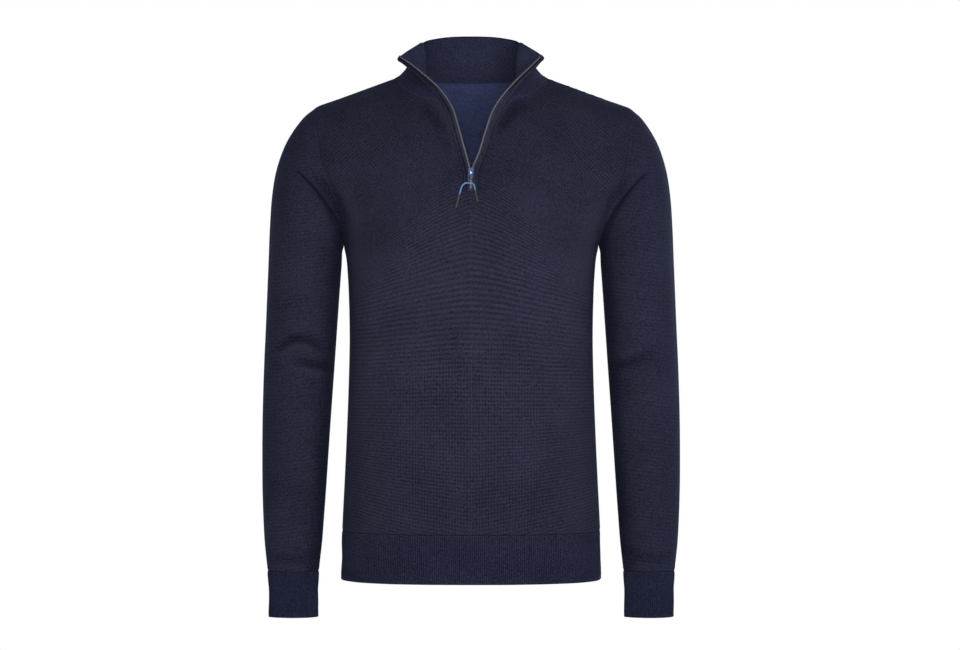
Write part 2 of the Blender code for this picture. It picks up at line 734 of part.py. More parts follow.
def edging_shares(side):
    """The edging's points, level with the rows of the front panel and of the collar."""
    neck = NECK_SHARE[side]
    body = neck * np.arange(SLOT_ROWS + 1) / SLOT_ROWS
    up = neck + (1 - neck) * np.arange(1, COLLAR_ROWS + 1) / COLLAR_ROWS
    return np.concatenate([body, up])


def zip_edging(side, sign):
    sheet = Sheet(f"zip_edging_{side}", EDGING_WALL, NAVY_EDGING)
    shares = edging_shares(side)
    inner = ZIP_HALF_WIDTH / EDGING_WIDTH
    middle = edging_line(shares, side, (1 + inner) / 2)
    middle[:, 1] -= EDGING_PUFF
    grid = np.stack([edging_line(shares, side, inner), middle, edging_line(shares, side, 1.0)], axis=1)
    sheet.add_grid(mirrored(grid, sign), flip=sign > 0)
    sheet.weld()
    return sheet


def zip_half(side, sign):
    sheet = Sheet(f"zip_half_{side}", ZIP_HALF_WALL, ZIP_GREY)
    shares = edging_shares(side)
    inner = ZIP_HALF_WIDTH / EDGING_WIDTH
    grid = np.stack([edging_line(shares, side, 0.0), edging_line(shares, side, inner)], axis=1)
    sheet.add_grid(mirrored(grid, sign), flip=sign > 0)
    sheet.weld()
    return sheet


# ---- Ribs


def ribbed_wall(name, top, foot, ribs, inner_steps, closed):
    """A ribbed band between two lines given as functions of a share, each returning points and normals."""
    steps = 2 * ribs
    share = np.arange(steps + (not closed)) / steps
    groove = RIB_DEPTH * (np.arange(len(share)) % 2)[:, None]
    inner_share = np.arange(inner_steps + (not closed)) / inner_steps
    outer, inner = [], []
    for line in (top, foot):
        points, normals = line(share)
        outer.append(points - normals * groove)
        points, normals = line(inner_share)
        inner.append(points - normals * RIB_WALL)
    points = np.concatenate(outer + inner)
    wide, narrow = len(share), len(inner_share)
    inner_first = 2 * wide
    faces = []

    def step(index, count):
        return (index + 1) % count if closed else index + 1

    for i in range(steps):
        faces.append((i, wide + i, wide + step(i, wide), step(i, wide)))
    for i in range(inner_steps):
        a, b = inner_first + i, inner_first + step(i, narrow)
        faces.append((a, b, b + narrow, a + narrow))
    per_step = steps // inner_steps
    for i in range(inner_steps):
        for level in range(2):
            a = inner_first + level * narrow + i
            b = inner_first + level * narrow + step(i, narrow)
            halfway = i * per_step + per_step // 2
            for j in range(i * per_step, (i + 1) * per_step):
                near = a if j < halfway else b
                one, two = level * wide + j, level * wide + step(j, wide)
                faces.append((one, two, near) if level == 0 else (two, one, near))
            middle = level * wide + halfway % wide
            faces.append((a, middle, b) if level == 0 else (b, middle, a))
    if not closed:
        last = (wide - 1, 2 * wide - 1, inner_first + 2 * narrow - 1, inner_first + narrow - 1)
        first = (0, inner_first, inner_first + narrow, wide)
        faces += [first, last]
    return make_object(name, points, faces, NAVY_RIB, sharp_degrees=25)


def body_section(height, face, turn):
    """Points and outward normals on the body's section, turn running from one side seam to the other."""
    angle = math.pi * (turn - 0.5)
    half_width = read(TORSO, "half_width", "height", height)
    depth = read(TORSO, "front" if face < 0 else "back", "height", height)
    power = 2 / BODY_ROUNDNESS
    reach = half_width * np.sign(np.sin(angle)) * np.abs(np.sin(angle)) ** power
    forward = depth * np.clip(np.cos(angle), 0, None) ** power
    points = stack(reach, forward, height)
    run = np.gradient(points, axis=0)
    normals = unit(stack(run[:, 1], -run[:, 0], 0.0))
    return points, normals * np.where(face < 0, 1, -1)


def even_section(height, face, share):
    """The body's section with its points spaced evenly, by share of its length."""
    fine_points = 721
    fine, normals = body_section(height, face, np.linspace(0, 1, fine_points))
    length = np.concatenate([[0], np.cumsum(np.linalg.norm(np.diff(fine, axis=0), axis=1))])
    at = np.asarray(share) * length[-1]
    points = np.stack([np.interp(at, length, fine[:, i]) for i in range(3)], axis=1)
    directions = unit(np.stack([np.interp(at, length, normals[:, i]) for i in range(3)], axis=1))
    return points, directions, length[-1]


def hem(name, face):
    half_gap = SEAM_GAP / 2
    length = even_section(HEM_SEAM_HEIGHT, face, np.array([0.0]))[2]
    ribs = HEM_INNER_STEPS * round(length / RIB_PITCH / HEM_INNER_STEPS)
    ends = half_gap / length

    def line(height):
        def at(share):
            points, normals, _ = even_section(height, face, ends + share * (1 - 2 * ends))
            if face > 0:
                points, normals = points[::-1], normals[::-1]
            return points, normals

        return at

    top = line(HEM_SEAM_HEIGHT - half_gap)
    return ribbed_wall(name, top, line(HEM_HEIGHT), ribs, HEM_INNER_STEPS, False)


def cuff(side, sign):
    last = {name: SLEEVE[name][-1] for name in SLEEVE}

    def line(values, height):
        half = (values["outer_x"] - values["inner_x"]) / 2
        middle = sign * (values["inner_x"] + values["outer_x"]) / 2
        depth = values["depth"]

        def at(share):
            angle = 2 * math.pi * share
            reach = middle + half * np.cos(angle)
            points = stack(reach, values["middle_y"] + depth * np.sin(angle), height)
            return points, unit(stack(np.cos(angle) / half, np.sin(angle) / depth, 0.0))

        return at

    half = (last["outer_x"] - last["inner_x"]) / 2
    girth = 2 * math.pi * math.sqrt((half**2 + last["depth"] ** 2) / 2)
    ribs = CUFF_INNER_STEPS * round(girth / RIB_PITCH / CUFF_INNER_STEPS)
    top = line(last, CUFF_SEAM_HEIGHT - SEAM_GAP / 2)
    return ribbed_wall(f"cuff_{side}", top, line(CUFF_FOOT, CUFF_HEIGHT), ribs, CUFF_INNER_STEPS, True)


# ---- The slider and its pull


def slider_frame():
    """On the outside of the halves where the slider stands: its middle, and axes across, inwards and up."""
    foot, crotch = ZIP_LINE["depth"][:2]
    rise = ZIP_LINE["left_z"][1] - ZIP_LINE["left_z"][0]
    tilt = math.atan2(crotch - foot, rise)
    depth = crotch + (SLIDER_HEIGHT - ZIP_LINE["left_z"][1]) * math.tan(tilt)
    return Matrix.Translation((0, depth, SLIDER_HEIGHT)) @ Matrix.Rotation(-tilt, 4, "X")


def hinge_frame():
    """The slider's frame moved to the axis of the link's top bar."""
    forward = PLATE_GAP + PLATE_WALL + HINGE_RISE
    return slider_frame() @ Matrix.Translation((0, -forward, CROWN_MIDDLE - HINGE_DROP))


def placed(frame, points):
    return np.array([frame @ Vector(point) for point in points])


def prism(outline, axis, low, high):
    """Points and faces of a flat outline (anticlockwise seen from the axis's far end) made solid along it."""
    count = len(outline)
    points = []
    for level in (low, high):
        for one, two in outline:
            points.append((level, one, two) if axis == "X" else (two, level, one))
    faces = [tuple(reversed(range(count))), tuple(range(count, 2 * count))]
    for i in range(count):
        j = (i + 1) % count
        faces.append((i, j, j + count, i + count))
    return points, faces


def plate_outline():
    """The slider's plates, as (up, across): wide over the parting halves, narrow over the closed ones."""
    wide, narrow, corner = SLIDER_WIDTH / 2, SLIDER_FOOT_WIDTH / 2, SLIDER_CORNER
    half = [(SLIDER_FOOT, narrow - corner), (SLIDER_FOOT + corner, narrow)]
    half += [(SLIDER_TOP - 2 * corner, wide), (SLIDER_TOP - corner / 2, wide - corner / 2)]
    half += [(SLIDER_TOP, wide - corner)]
    return half + [(up, -across) for up, across in reversed(half)]


def crown_outline():
    """The crown's strap from the side, as (inwards, up)."""
    face = -(PLATE_GAP + PLATE_WALL)
    angles = [math.pi * i / CROWN_STEPS for i in range(CROWN_STEPS + 1)]
    outline = []
    for length, rise, run in (
        (CROWN_LENGTH / 2, CROWN_RISE, angles),
        (CROWN_LENGTH / 2 - CROWN_WALL, CROWN_RISE - CROWN_WALL, angles[::-1]),
    ):
        arch = [(face - rise * math.sin(a), CROWN_MIDDLE + length * math.cos(a)) for a in run]
        root = [(face + CROWN_ROOT, arch[0][1]), (face + CROWN_ROOT, arch[-1][1])]
        outline += [root[0]] + arch + [root[1]]
    return outline


def slider():
    frame = slider_frame()
    behind = EDGING_WALL + PLATE_GAP
    plates = plate_outline()
    post_top = SLIDER_TOP - POST_DROP
    post = [(post_top - POST_LENGTH, -POST_WIDTH / 2), (post_top - POST_LENGTH, POST_WIDTH / 2)]
    post += [(post_top, POST_WIDTH / 2), (post_top, -POST_WIDTH / 2)]
    bite = PLATE_WALL / 2
    parts = {
        "zip_slider": prism(plates, "Y", -PLATE_GAP - PLATE_WALL, -PLATE_GAP),
        "slider_back_plate": prism(plates, "Y", behind, behind + PLATE_WALL),
        "slider_post": prism(post, "Y", -PLATE_GAP - bite, behind + bite),
        "slider_crown": prism(crown_outline(), "X", -CROWN_WIDTH / 2, CROWN_WIDTH / 2),
    }
    body = None
    for name, (points, faces) in parts.items():
        thing = make_object(name, placed(frame, points), faces, BLUE_METAL, sharp_degrees=0)
        if body is None:
            body = thing
            continue
        thing.hide_render = True
        thing.display_type = "WIRE"
        join = body.modifiers.new(name, "BOOLEAN")
        join.operation = "UNION"
        join.solver = "EXACT"
        join.object = thing
    return body


def smooth_route(points, spacing, closed):
    """Evenly spaced points along a smooth curve through the given ones."""
    steps = 16
    count = len(points)
    fine = []
    for i in range(count if closed else count - 1):
        if closed:
            a, b, c, d = (points[(i + k) % count] for k in (-1, 0, 1, 2))
        else:
            a, b, c, d = (points[min(max(i + k, 0), count - 1)] for k in (-1, 0, 1, 2))
        for t in np.arange(steps) / steps:
            along = (c - a) / 2 * t + (2 * a - 5 * b + 4 * c - d) / 2 * t**2
            fine.append(b + along + (3 * b - a - 3 * c + d) / 2 * t**3)
    fine.append(points[0] if closed else points[-1])
    fine = np.array(fine)
    length = np.concatenate([[0], np.cumsum(np.linalg.norm(np.diff(fine, axis=0), axis=1))])
    pieces = round(length[-1] / spacing)
    at = np.linspace(0, length[-1], pieces + 1)
    route = np.stack([np.interp(at, length, fine[:, i]) for i in range(3)], axis=1)
    return route[:-1] if closed else route


def make_tube(name, route, radius, finish, origin, closed):
    curve = bpy.data.curves.new(name, "CURVE")
    curve.dimensions = "3D"
    curve.bevel_depth = radius * MM
    curve.bevel_resolution = 2
    curve.use_fill_caps = not closed
    spline = curve.splines.new("POLY")
    spline.points.add(len(route) - 1)
    for point, place in zip(spline.points, (route - origin) * MM):
        point.co = (*place, 1)
    spline.use_cyclic_u = closed
    spline.use_smooth = True
    curve.materials.append(make_material(name, finish))
    thing = bpy.data.objects.new(name, curve)
    thing.location = Vector(origin) * MM
    bpy.context.scene.collection.objects.link(thing)
    return thing


def link_frame():
    lean = Matrix.Rotation(math.radians(-LINK_LEAN), 4, "Y")
    tilt = Matrix.Rotation(math.radians(-LINK_TILT), 4, "X")
    return hinge_frame() @ tilt @ lean


def pull_link(hinge):
    half = [Vector(row) for row in zip(LINK["across"], -LINK["forward"], LINK["down"])]
    angles = np.radians(np.linspace(LINK_RING_MOUTH, 360 - LINK_RING_MOUTH, LINK_RING_POINTS + 1))
    ring = [(0, -LINK_RING * math.sin(a), LINK_RING_DROP + LINK_RING * math.cos(a)) for a in angles]
    back = [Vector((-point.x, -point.y, point.z)) for point in reversed(half[1:])]
    loop = placed(link_frame(), half + ring + back)
    return make_tube("pull_link", smooth_route(loop, LINK_SPACING, True), LINK_WIRE, BLUE_METAL, hinge, True)


def cloth_front(sheets):
    """Finds the depth of the cloth's outside at a place seen from the front."""
    trees = [BVHTree.FromPolygons([Vector(p) for p in sheet.points], sheet.faces) for sheet in sheets]

    def depth(reach, height):
        hits = [tree.ray_cast(Vector((reach, -300, height)), Vector((0, 1, 0)))[0] for tree in trees]
        return min(hit.y for hit in hits if hit)

    return depth


def pull_cord(hinge, depth):
    """The cord and its two moulded ends, lying on the cloth."""
    middle = link_frame() @ Vector((0, 0, LINK_RING_DROP))
    route = []
    for across, down, forward in zip(CORD["across"], CORD["down"], CORD["forward"]):
        reach, height = middle.x + across, middle.z + down
        route.append((reach, depth(reach, height) - forward, height))
    ring_point = int(np.flatnonzero(CORD["across"] == 0)[0])
    route[ring_point] = tuple(middle)
    cord = smooth_route(np.array(route), CORD_SPACING, False)
    make_tube("pull_cord", cord, CORD_RADIUS, BRIGHT_CORD, hinge, False)
    for side, ends in TIP_ENDS.items():
        places = []
        for across, down in ends:
            reach, height = middle.x + across, middle.z + down
            places.append(Vector((reach, depth(reach, height) - TIP_FORWARD, height)))
        cord_tip(f"cord_tip_{side}", *places, hinge)


def cord_tip(name, start, end, hinge):
    """A moulded end: a round rod, its far end domed."""
    run = end - start
    frame = Matrix.Translation(start) @ run.to_track_quat("Z", "X").to_matrix().to_4x4()
    length = run.length
    profile = [(0.85, 0), (1, TIP_BEVEL), (1, length - TIP_DOME)]
    profile += [(0.8, length - TIP_DOME / 3), (0.4, length)]
    points = []
    for share, along in profile:
        for i in range(TIP_SIDES):
            angle = 2 * math.pi * i / TIP_SIDES
            radius = share * TIP_RADIUS
            points.append((radius * math.cos(angle), radius * math.sin(angle), along))
    faces = [tuple(reversed(range(TIP_SIDES))), tuple(range(len(points) - TIP_SIDES, len(points)))]
    for ring in range(len(profile) - 1):
        for i in range(TIP_SIDES):
            j = (i + 1) % TIP_SIDES
            a, b = ring * TIP_SIDES, (ring + 1) * TIP_SIDES
            faces.append((a + i, a + j, b + j, b + i))
    thing = make_object(name, placed(frame, points) - np.array(hinge), faces, TIP_DARK)
    thing.location = Vector(hinge) * MM


def main():
    for thing in list(bpy.data.objects):
        bpy.data.objects.remove(thing, do_unlink=True)
    sheets = [front_panel(), back_panel(), collar()]
    for side, sign in SIDES.items():
        sheets += [sleeve(side, sign), zip_edging(side, sign), zip_half(side, sign)]
    share_normals(sheets)
    for sheet in sheets:
        sheet.points = sheet.points + sheet.normals * fold_shift(sheet.points, sheet.normals)[:, None]
    share_normals(sheets)
    for sheet in sheets:
        make_object(sheet.name, *walled(sheet), sheet.finish)
    hem("hem_front", -1)
    hem("hem_back", 1)
    for side, sign in SIDES.items():
        cuff(side, sign)
    slider()
    hinge = hinge_frame().translation
    pull_link(hinge)
    front = [sheet for sheet in sheets if sheet.name.startswith(("front", "zip"))]
    pull_cord(hinge, cloth_front(front))


main()
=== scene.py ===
import math

import bmesh
import bpy
import numpy as np
from mathutils import Matrix, Vector
from mathutils.kdtree import KDTree


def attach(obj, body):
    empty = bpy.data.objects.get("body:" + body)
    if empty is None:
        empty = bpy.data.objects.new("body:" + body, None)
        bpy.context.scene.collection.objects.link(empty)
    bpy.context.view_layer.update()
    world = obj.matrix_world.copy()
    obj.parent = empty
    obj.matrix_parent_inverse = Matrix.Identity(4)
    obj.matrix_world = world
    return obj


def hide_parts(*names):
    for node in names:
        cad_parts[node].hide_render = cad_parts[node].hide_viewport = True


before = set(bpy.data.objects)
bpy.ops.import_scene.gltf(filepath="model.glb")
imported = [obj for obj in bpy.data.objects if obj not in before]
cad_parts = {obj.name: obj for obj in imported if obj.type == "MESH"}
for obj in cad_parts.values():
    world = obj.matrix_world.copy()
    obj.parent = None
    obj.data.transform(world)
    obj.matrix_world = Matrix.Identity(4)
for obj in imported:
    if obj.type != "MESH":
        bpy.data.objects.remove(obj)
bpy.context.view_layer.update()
mm = 0.001  # garment sizes below are in millimetres
sides = {"left": -1, "right": 1}
white = (1, 1, 1, 1)

studio = {  # metres, watts and degrees
    "cameraPlace": (0.0119, -4.3, -0.332),
    "lens": 119.4,
    "sensor": 36.0,
    "lampAim": (0, 0, -0.33),
    "ambient": 0.23,
    "ambientTint": (0.84, 0.88, 1.0),
    "overhead": 0.55,
    "overheadTint": (0.80, 0.90, 1.0),
    "floorHeight": -1.45,
    "floorRadius": 3.0,
    "floorCorners": 96,
    "floorColour": (0.92, 0.90, 0.87, 1),
    "floorRoughness": 0.9,
    "floorGlow": 0.2,
    "lights": (  # name, place, size, power, tint
        ("keyRight", (1.2, -3.6, 0.1), 1.4, 40.0, (0.96, 0.96, 1.0)),
        ("sideRight", (2.6, -0.9, 0.0), 1.2, 10.0, (0.85, 0.92, 1.0)),
        ("keyLeft", (-0.9, -3.7, 0.1), 1.4, 14.0, (0.95, 0.97, 1.0)),
        ("low", (0.1, -3.4, -1.1), 1.4, 16.0, (0.93, 0.96, 1.0)),
        ("rimRight", (1.5, 1.9, 0.2), 1.2, 20.0, (0.66, 0.80, 1.0)),
        ("rimLeft", (-1.3, 2.2, 0.2), 1.2, 8.0, (0.66, 0.80, 1.0)),
        ("back", (0.1, 3.4, 0.3), 1.8, 34.0, (0.90, 0.95, 1.0)),
    ),
    "beams": (  # name, place, aim, angle, power, size, tint
        ("frontBeam", (0.0, -4.8, -0.33), (0.0, 0, -0.335), 9.3, 500.0, 0.22, (1.0, 0.89, 0.80)),
        ("neckBeam", (0.0, -4.8, 0.2), (0, 0, 0.0), 2.7, 240.0, 0.12, (0.90, 0.93, 1.0)),
        ("shoulderBeam", (0.5, -4.8, 0.2), (0.235, 0, -0.12), 3.6, 380.0, 0.2, (0.95, 0.93, 1.0)),
        ("shoulderBeamLeft", (-0.5, -4.8, 0.2), (-0.24, 0, -0.11), 3.0, 170.0, 0.2, (0.90, 0.92, 1.0)),
    ),
}


def addObject(name, data):
    made = bpy.data.objects.new(name, data)
    bpy.context.scene.collection.objects.link(made)
    return made


def makeLamp(name, kind, place, aim, power, tint):
    lamp = bpy.data.lights.new(name, kind)
    lamp.energy = power
    lamp.color = tint
    holder = addObject(name, lamp)
    holder.location = place
    holder.rotation_euler = (Vector(aim) - Vector(place)).to_track_quat("-Z", "Y").to_euler()
    return lamp


def makeCamera():
    lens = bpy.data.cameras.new("camera")
    lens.lens = studio["lens"]
    lens.sensor_width = studio["sensor"]
    camera = addObject("camera", lens)
    camera.location = studio["cameraPlace"]
    camera.rotation_euler = (math.pi / 2, 0, 0)
    bpy.context.scene.camera = camera


def makeLights():
    for name, place, size, power, tint in studio["lights"]:
        lamp = makeLamp(name, "AREA", place, studio["lampAim"], power, tint)
        lamp.shape = "SQUARE"
        lamp.size = size
    for name, place, aim, angle, power, size, tint in studio["beams"]:
        lamp = makeLamp(name, "SPOT", place, aim, power, tint)
        lamp.spot_size = math.radians(angle)
        lamp.spot_blend = 1.0
        lamp.shadow_soft_size = size


def makeWorld():  # white to the camera; as light it is dim all round and brighter from above
    world = bpy.data.worlds.new("paleRoom")
    bpy.context.scene.world = world
    world.use_nodes = True
    tree = world.node_tree
    height = parts(tree, tree.nodes.new("ShaderNodeTexCoord").outputs["Generated"])[2]
    around = (*(value * studio["ambient"] for value in studio["ambientTint"]), 1)
    above = (*(value * studio["overhead"] for value in studio["overheadTint"]), 1)
    room = tree.nodes["Background"]
    put(tree, mixColour(tree, calc(tree, "MAXIMUM", height, 0.0), around, above), room.inputs["Color"])
    seen = tree.nodes.new("ShaderNodeBackground")
    seen.inputs["Color"].default_value = white
    mix = tree.nodes.new("ShaderNodeMixShader")
    put(tree, tree.nodes.new("ShaderNodeLightPath").outputs["Is Camera Ray"], mix.inputs[0])
    put(tree, room.outputs[0], mix.inputs[1])
    put(tree, seen.outputs[0], mix.inputs[2])
    put(tree, mix.outputs[0], tree.nodes["World Output"].inputs["Surface"])


def makeFloor():
    radius, height, corners = studio["floorRadius"], studio["floorHeight"], studio["floorCorners"]
    angles = np.linspace(0, math.tau, corners, endpoint=False)
    mesh = bpy.data.meshes.new("floor")
    ring = [(radius * math.cos(angle), radius * math.sin(angle), height) for angle in angles]
    mesh.from_pydata(ring, [], [tuple(range(corners))])
    floor = addObject("floor", mesh)
    pale, _, shader = newMaterial("paleFloor")
    shader.inputs["Base Color"].default_value = studio["floorColour"]
    shader.inputs["Roughness"].default_value = studio["floorRoughness"]
    shader.inputs["Emission Color"].default_value = white
    shader.inputs["Emission Strength"].default_value = studio["floorGlow"]
    mesh.materials.append(pale)


def makeStudio():
    bpy.context.scene.view_settings.view_transform = "Standard"
    makeCamera()
    makeLights()
    makeWorld()
    makeFloor()


def newMaterial(name):
    material = bpy.data.materials.new(name)
    material.use_nodes = True
    return material, material.node_tree, material.node_tree.nodes["Principled BSDF"]


def put(tree, value, socket):
    if isinstance(value, bpy.types.NodeSocket):
        tree.links.new(value, socket)
    else:
        socket.default_value = value


def calc(tree, operation, *values):
    node = tree.nodes.new("ShaderNodeMath")
    node.operation = operation
    for value, socket in zip(values, node.inputs):
        put(tree, value, socket)
    return node.outputs[0]


def product(tree, first, *others):
    for other in others:
        first = calc(tree, "MULTIPLY", first, other)
    return first


def plus(tree, tone, part, strength):
    return calc(tree, "MULTIPLY_ADD", part, strength, tone)


def apart(tree, value, middle):
    return calc(tree, "ABSOLUTE", calc(tree, "SUBTRACT", value, middle))


def parts(tree, vector):
    split = tree.nodes.new("ShaderNodeSeparateXYZ")
    tree.links.new(vector, split.inputs[0])
    return tuple(split.outputs)


def uvParts(tree, name):
    place = tree.nodes.new("ShaderNodeUVMap")
    place.uv_map = name
    return parts(tree, place.outputs[0])[:2]


def noise(tree, coordinates, scale, detail):
    node = tree.nodes.new("ShaderNodeTexNoise")
    node.inputs["Scale"].default_value = scale
    node.inputs["Detail"].default_value = detail
    tree.links.new(coordinates, node.inputs["Vector"])
    return node.outputs["Fac"]


def mixColour(tree, factor, first, second):
    node = tree.nodes.new("ShaderNodeMix")
    node.data_type = "RGBA"
    for value, socket in zip((factor, first, second), (node.inputs[0], node.inputs[6], node.inputs[7])):
        put(tree, value, socket)
    return node.outputs[2]


def softStep(tree, value, start, end):
    node = tree.nodes.new("ShaderNodeMapRange")
    node.interpolation_type = "SMOOTHSTEP"
    node.inputs["From Min"].default_value = start
    node.inputs["From Max"].default_value = end
    tree.links.new(value, node.inputs["Value"])
    return node.outputs["Result"]


def roughen(tree, shader, height, distance, strength):
    bump = tree.nodes.new("ShaderNodeBump")
    bump.inputs["Distance"].default_value = distance
    bump.inputs["Strength"].default_value = strength
    tree.links.new(height, bump.inputs["Height"])
    tree.links.new(bump.outputs[0], shader.inputs["Normal"])


# a loop has a wale and a course in mm and a slant; a rib has a pitch, the strength of the shade painted in its
# grooves and a length;
# bands and columns are the strength of the stripes along and up the knit
def newYarn(dark, light, loop, grain, bands=0.0, columns=0.0, rib=None):
    return {
        "dark": (*dark, 1),
        "light": (*light, 1),
        "loop": loop,
        "grain": grain,
        "bands": bands,
        "columns": columns,
        "rib": rib,
    }


yarns = {
    "jersey": newYarn(
        (0.0045, 0.0055, 0.0150), (0.0345, 0.0325, 0.0590), (1.5, 1.2, 1.1), 1.15, bands=0.18, columns=0.10
    ),
    "sleeveJersey": newYarn(
        (0.0045, 0.0058, 0.0155), (0.0320, 0.0312, 0.0585), (1.5, 1.2, 1.1), 1.25, bands=0.075
    ),
    "rib": newYarn(
        (0.0040, 0.0055, 0.0150),
        (0.0300, 0.0308, 0.0605),
        (1.25, 1.2, 1.1),
        1.5,
        bands=0.06,
        rib=(2.5, 0.26, 65.0),
    ),
    "cuffRib": newYarn(
        (0.0045, 0.0062, 0.0165),
        (0.0255, 0.0280, 0.0570),
        (1.25, 1.2, 1.1),
        1.6,
        bands=0.03,
        rib=(2.5, 0.10, 61.5),
    ),
    "collarKnit": newYarn((0.0060, 0.0072, 0.0190), (0.0325, 0.0335, 0.0680), (1.4, 1.15, 1.1), 1.3, bands=0.05),
    # a lighter copy of the collar knit: painted light on the collar's inside face
    "collarInsidePaintedLight": newYarn((0.0090, 0.0110, 0.0270), (0.0430, 0.0450, 0.0860), (1.4, 1.15, 1.1), 1.2, bands=0.07),
    # a darker knit for the free rims: painted shade along the edges
    "rim": newYarn((0.0030, 0.0038, 0.0110), (0.0150, 0.0175, 0.0400), (1.2, 1.1, 1.0), 0.8),
    # the knit's reverse side, far lighter than the jersey: partly its own look, partly painted light
    "inside": newYarn((0.0150, 0.0200, 0.0520), (0.0850, 0.1050, 0.2400), (1.5, 1.2, 0.35), 0.8, bands=0.04),
    "edging": newYarn((0.0050, 0.0056, 0.0140), (0.0400, 0.0385, 0.0640), (1.2, 1.0, 1.0), 1.2),
}
knitFinish = {  # tones run from the dark colour (0) to the light one (1)
    "roughness": 0.95,
    "specular": 0.12,
    "sheen": 0.03,
    "sheenRoughness": 0.35,
    "sheenTint": (0.35, 0.55, 1.0, 1),
    "tone": 0.42,
    "loopTone": 0.30,
    "loopMean": 0.4,
    "grainScale": (430.0, 430.0, 520.0),
    "grainDetail": 1.5,
    "cloudTone": 0.45,
    "cloudNoise": (17, 3),  # scale and detail
    "relief": 0.00025,
    "reliefStrength": 0.6,
}
# painted shade on the ribs: it fades out between plainFrom and plainTo above the band's foot; a painted shadow
# runs seamReach mm down from the sewn top
ribShade = {"plainFrom": 3.0, "plainTo": 5.0, "seamReach": 1.6, "seamShadow": -0.4}
edgingShade = {  # painted highlights and shade on the edging: places across the strip in mm, where a band rises and where it falls
    "fold": ((0.2, 0.9), (2.3, 1.5)),
    "foldHighlight": 0.22,
    "seam": (6.6, 8.3),
    "seamShadow": -0.45,
    "leftChannel": ((2.2, 3.4), (6.4, 5.4)),
    "leftChannelShade": -0.30,
    "leftCrest": (0.9, 0.1),
    "leftCrestMiddle": 6.4,
    "leftCrestHighlight": 0.25,
    "upperDark": ((0.3, 0.9), (3.4, 2.4)),
    "upperHeights": (-0.030, -0.004),  # in metres
    "upperShade": -0.8,
}
stripeShade = {  # heights and reaches in metres
    "wander": 0.9,
    "patchNoise": (60, 2),
    "patchRange": (0.30, 0.62),
    "patchTone": 0.5,
    "faintHeights": (-0.21, -0.11),
    "faintAbove": 0.2,
    "columnHeights": (-0.30, -0.42),
    "columnReach": (0.150, 0.060),
    "centreReach": (0.0022, 0.0),
    "centreTone": 0.10,
}
armpit = {  # painted shade: height and reach of the tight fold in front of each underarm, and of the soft valley beside it
    "line": ((-228, 170.5), (-207, 173.5), (-192, 180), (-171, 192.5), (-144, 214), (-134, 224), (-116, 245)),
    "valley": ((-228, 167), (-200, 170), (-182, 176), (-165, 181), (-150, 188), (-130, 205), (-116, 216)),
    "curveStart": 150,
    "curveSpan": 100,
    "rightAway": 5.0,
    "halfWidth": (2.7, 0.9),
    "dark": 0.85,
    "valleyHalfWidth": 8.5,
    "valleyDark": {-1: 0.34, 1: 0.10},
    "valleyHeights": (-124.0, -205.0),
    "upperEnd": (-122.0, -142.0),
    "lowerEnd": (-240.0, -224.0),
    "frontOf": (-5.0, -15.0),
}


def reachAt(tree, height, path):  # a float curve holds the reach for each height
    low, high = path[0][0], path[-1][0]
    start, span = armpit["curveStart"], armpit["curveSpan"]
    curve = tree.nodes.new("ShaderNodeFloatCurve")
    points = curve.mapping.curves[0].points
    spots = [((z - low) / (high - low), (x - start) / span) for z, x in path]
    points[0].location, points[-1].location = spots[0], spots[-1]
    for spot in spots[1:-1]:
        points.new(*spot)
    curve.mapping.update()
    share = tree.nodes.new("ShaderNodeMapRange")
    share.inputs["From Min"].default_value = low
    share.inputs["From Max"].default_value = high
    tree.links.new(height, share.inputs["Value"])
    tree.links.new(share.outputs["Result"], curve.inputs["Value"])
    return calc(tree, "MULTIPLY_ADD", curve.outputs[0], span, start)


# a painted shadow line along the underarm fold and painted shade in the valley beside it
def armpitShade(tree, place):
    x, y, z = (calc(tree, "MULTIPLY", value, 1 / mm) for value in place)
    right = calc(tree, "GREATER_THAN", x, 0.0)
    reach = calc(tree, "MULTIPLY_ADD", right, -armpit["rightAway"], calc(tree, "ABSOLUTE", x))
    line = softStep(tree, apart(tree, reach, reachAt(tree, z, armpit["line"])), *armpit["halfWidth"])
    gap = apart(tree, reach, reachAt(tree, z, armpit["valley"]))
    valley = softStep(tree, gap, armpit["valleyHalfWidth"], 0.0)
    left, more = armpit["valleyDark"][-1], armpit["valleyDark"][1] - armpit["valleyDark"][-1]
    depth = calc(tree, "MULTIPLY_ADD", right, more, left)
    valley = product(tree, valley, softStep(tree, z, *armpit["valleyHeights"]), depth)
    dark = calc(tree, "MULTIPLY_ADD", line, -armpit["dark"], calc(tree, "MULTIPLY", valley, -1.0))
    ends = (softStep(tree, z, *armpit[end]) for end in ("upperEnd", "lowerEnd"))
    return product(tree, dark, *ends, softStep(tree, y, *armpit["frontOf"]))


def loopRelief(tree, across, down, loop):  # pairs of slanted legs
    wale, course, slant = loop
    aside = apart(tree, calc(tree, "FRACT", calc(tree, "DIVIDE", across, wale)), 0.5)
    leg = calc(tree, "SINE", calc(tree, "MULTIPLY", aside, math.tau))
    courses = calc(tree, "DIVIDE", down, course)
    slanted = calc(tree, "FRACT", calc(tree, "MULTIPLY_ADD", aside, slant, courses))
    return calc(tree, "MULTIPLY", leg, calc(tree, "SINE", calc(tree, "MULTIPLY", slanted, math.pi)))


# painted shade in the rib grooves and painted highlight on the crests, then a painted shadow along the sewn top
# edge
def ribTone(tree, tone, across, down, rib):
    pitch, strength, length = rib
    plainFoot = softStep(tree, down, length - ribShade["plainFrom"], length - ribShade["plainTo"])
    uprights = calc(tree, "COSINE", calc(tree, "MULTIPLY", across, math.tau / pitch))
    tone = plus(tree, tone, uprights, calc(tree, "MULTIPLY", plainFoot, strength))
    return plus(tree, tone, softStep(tree, down, ribShade["seamReach"], 0.0), ribShade["seamShadow"])
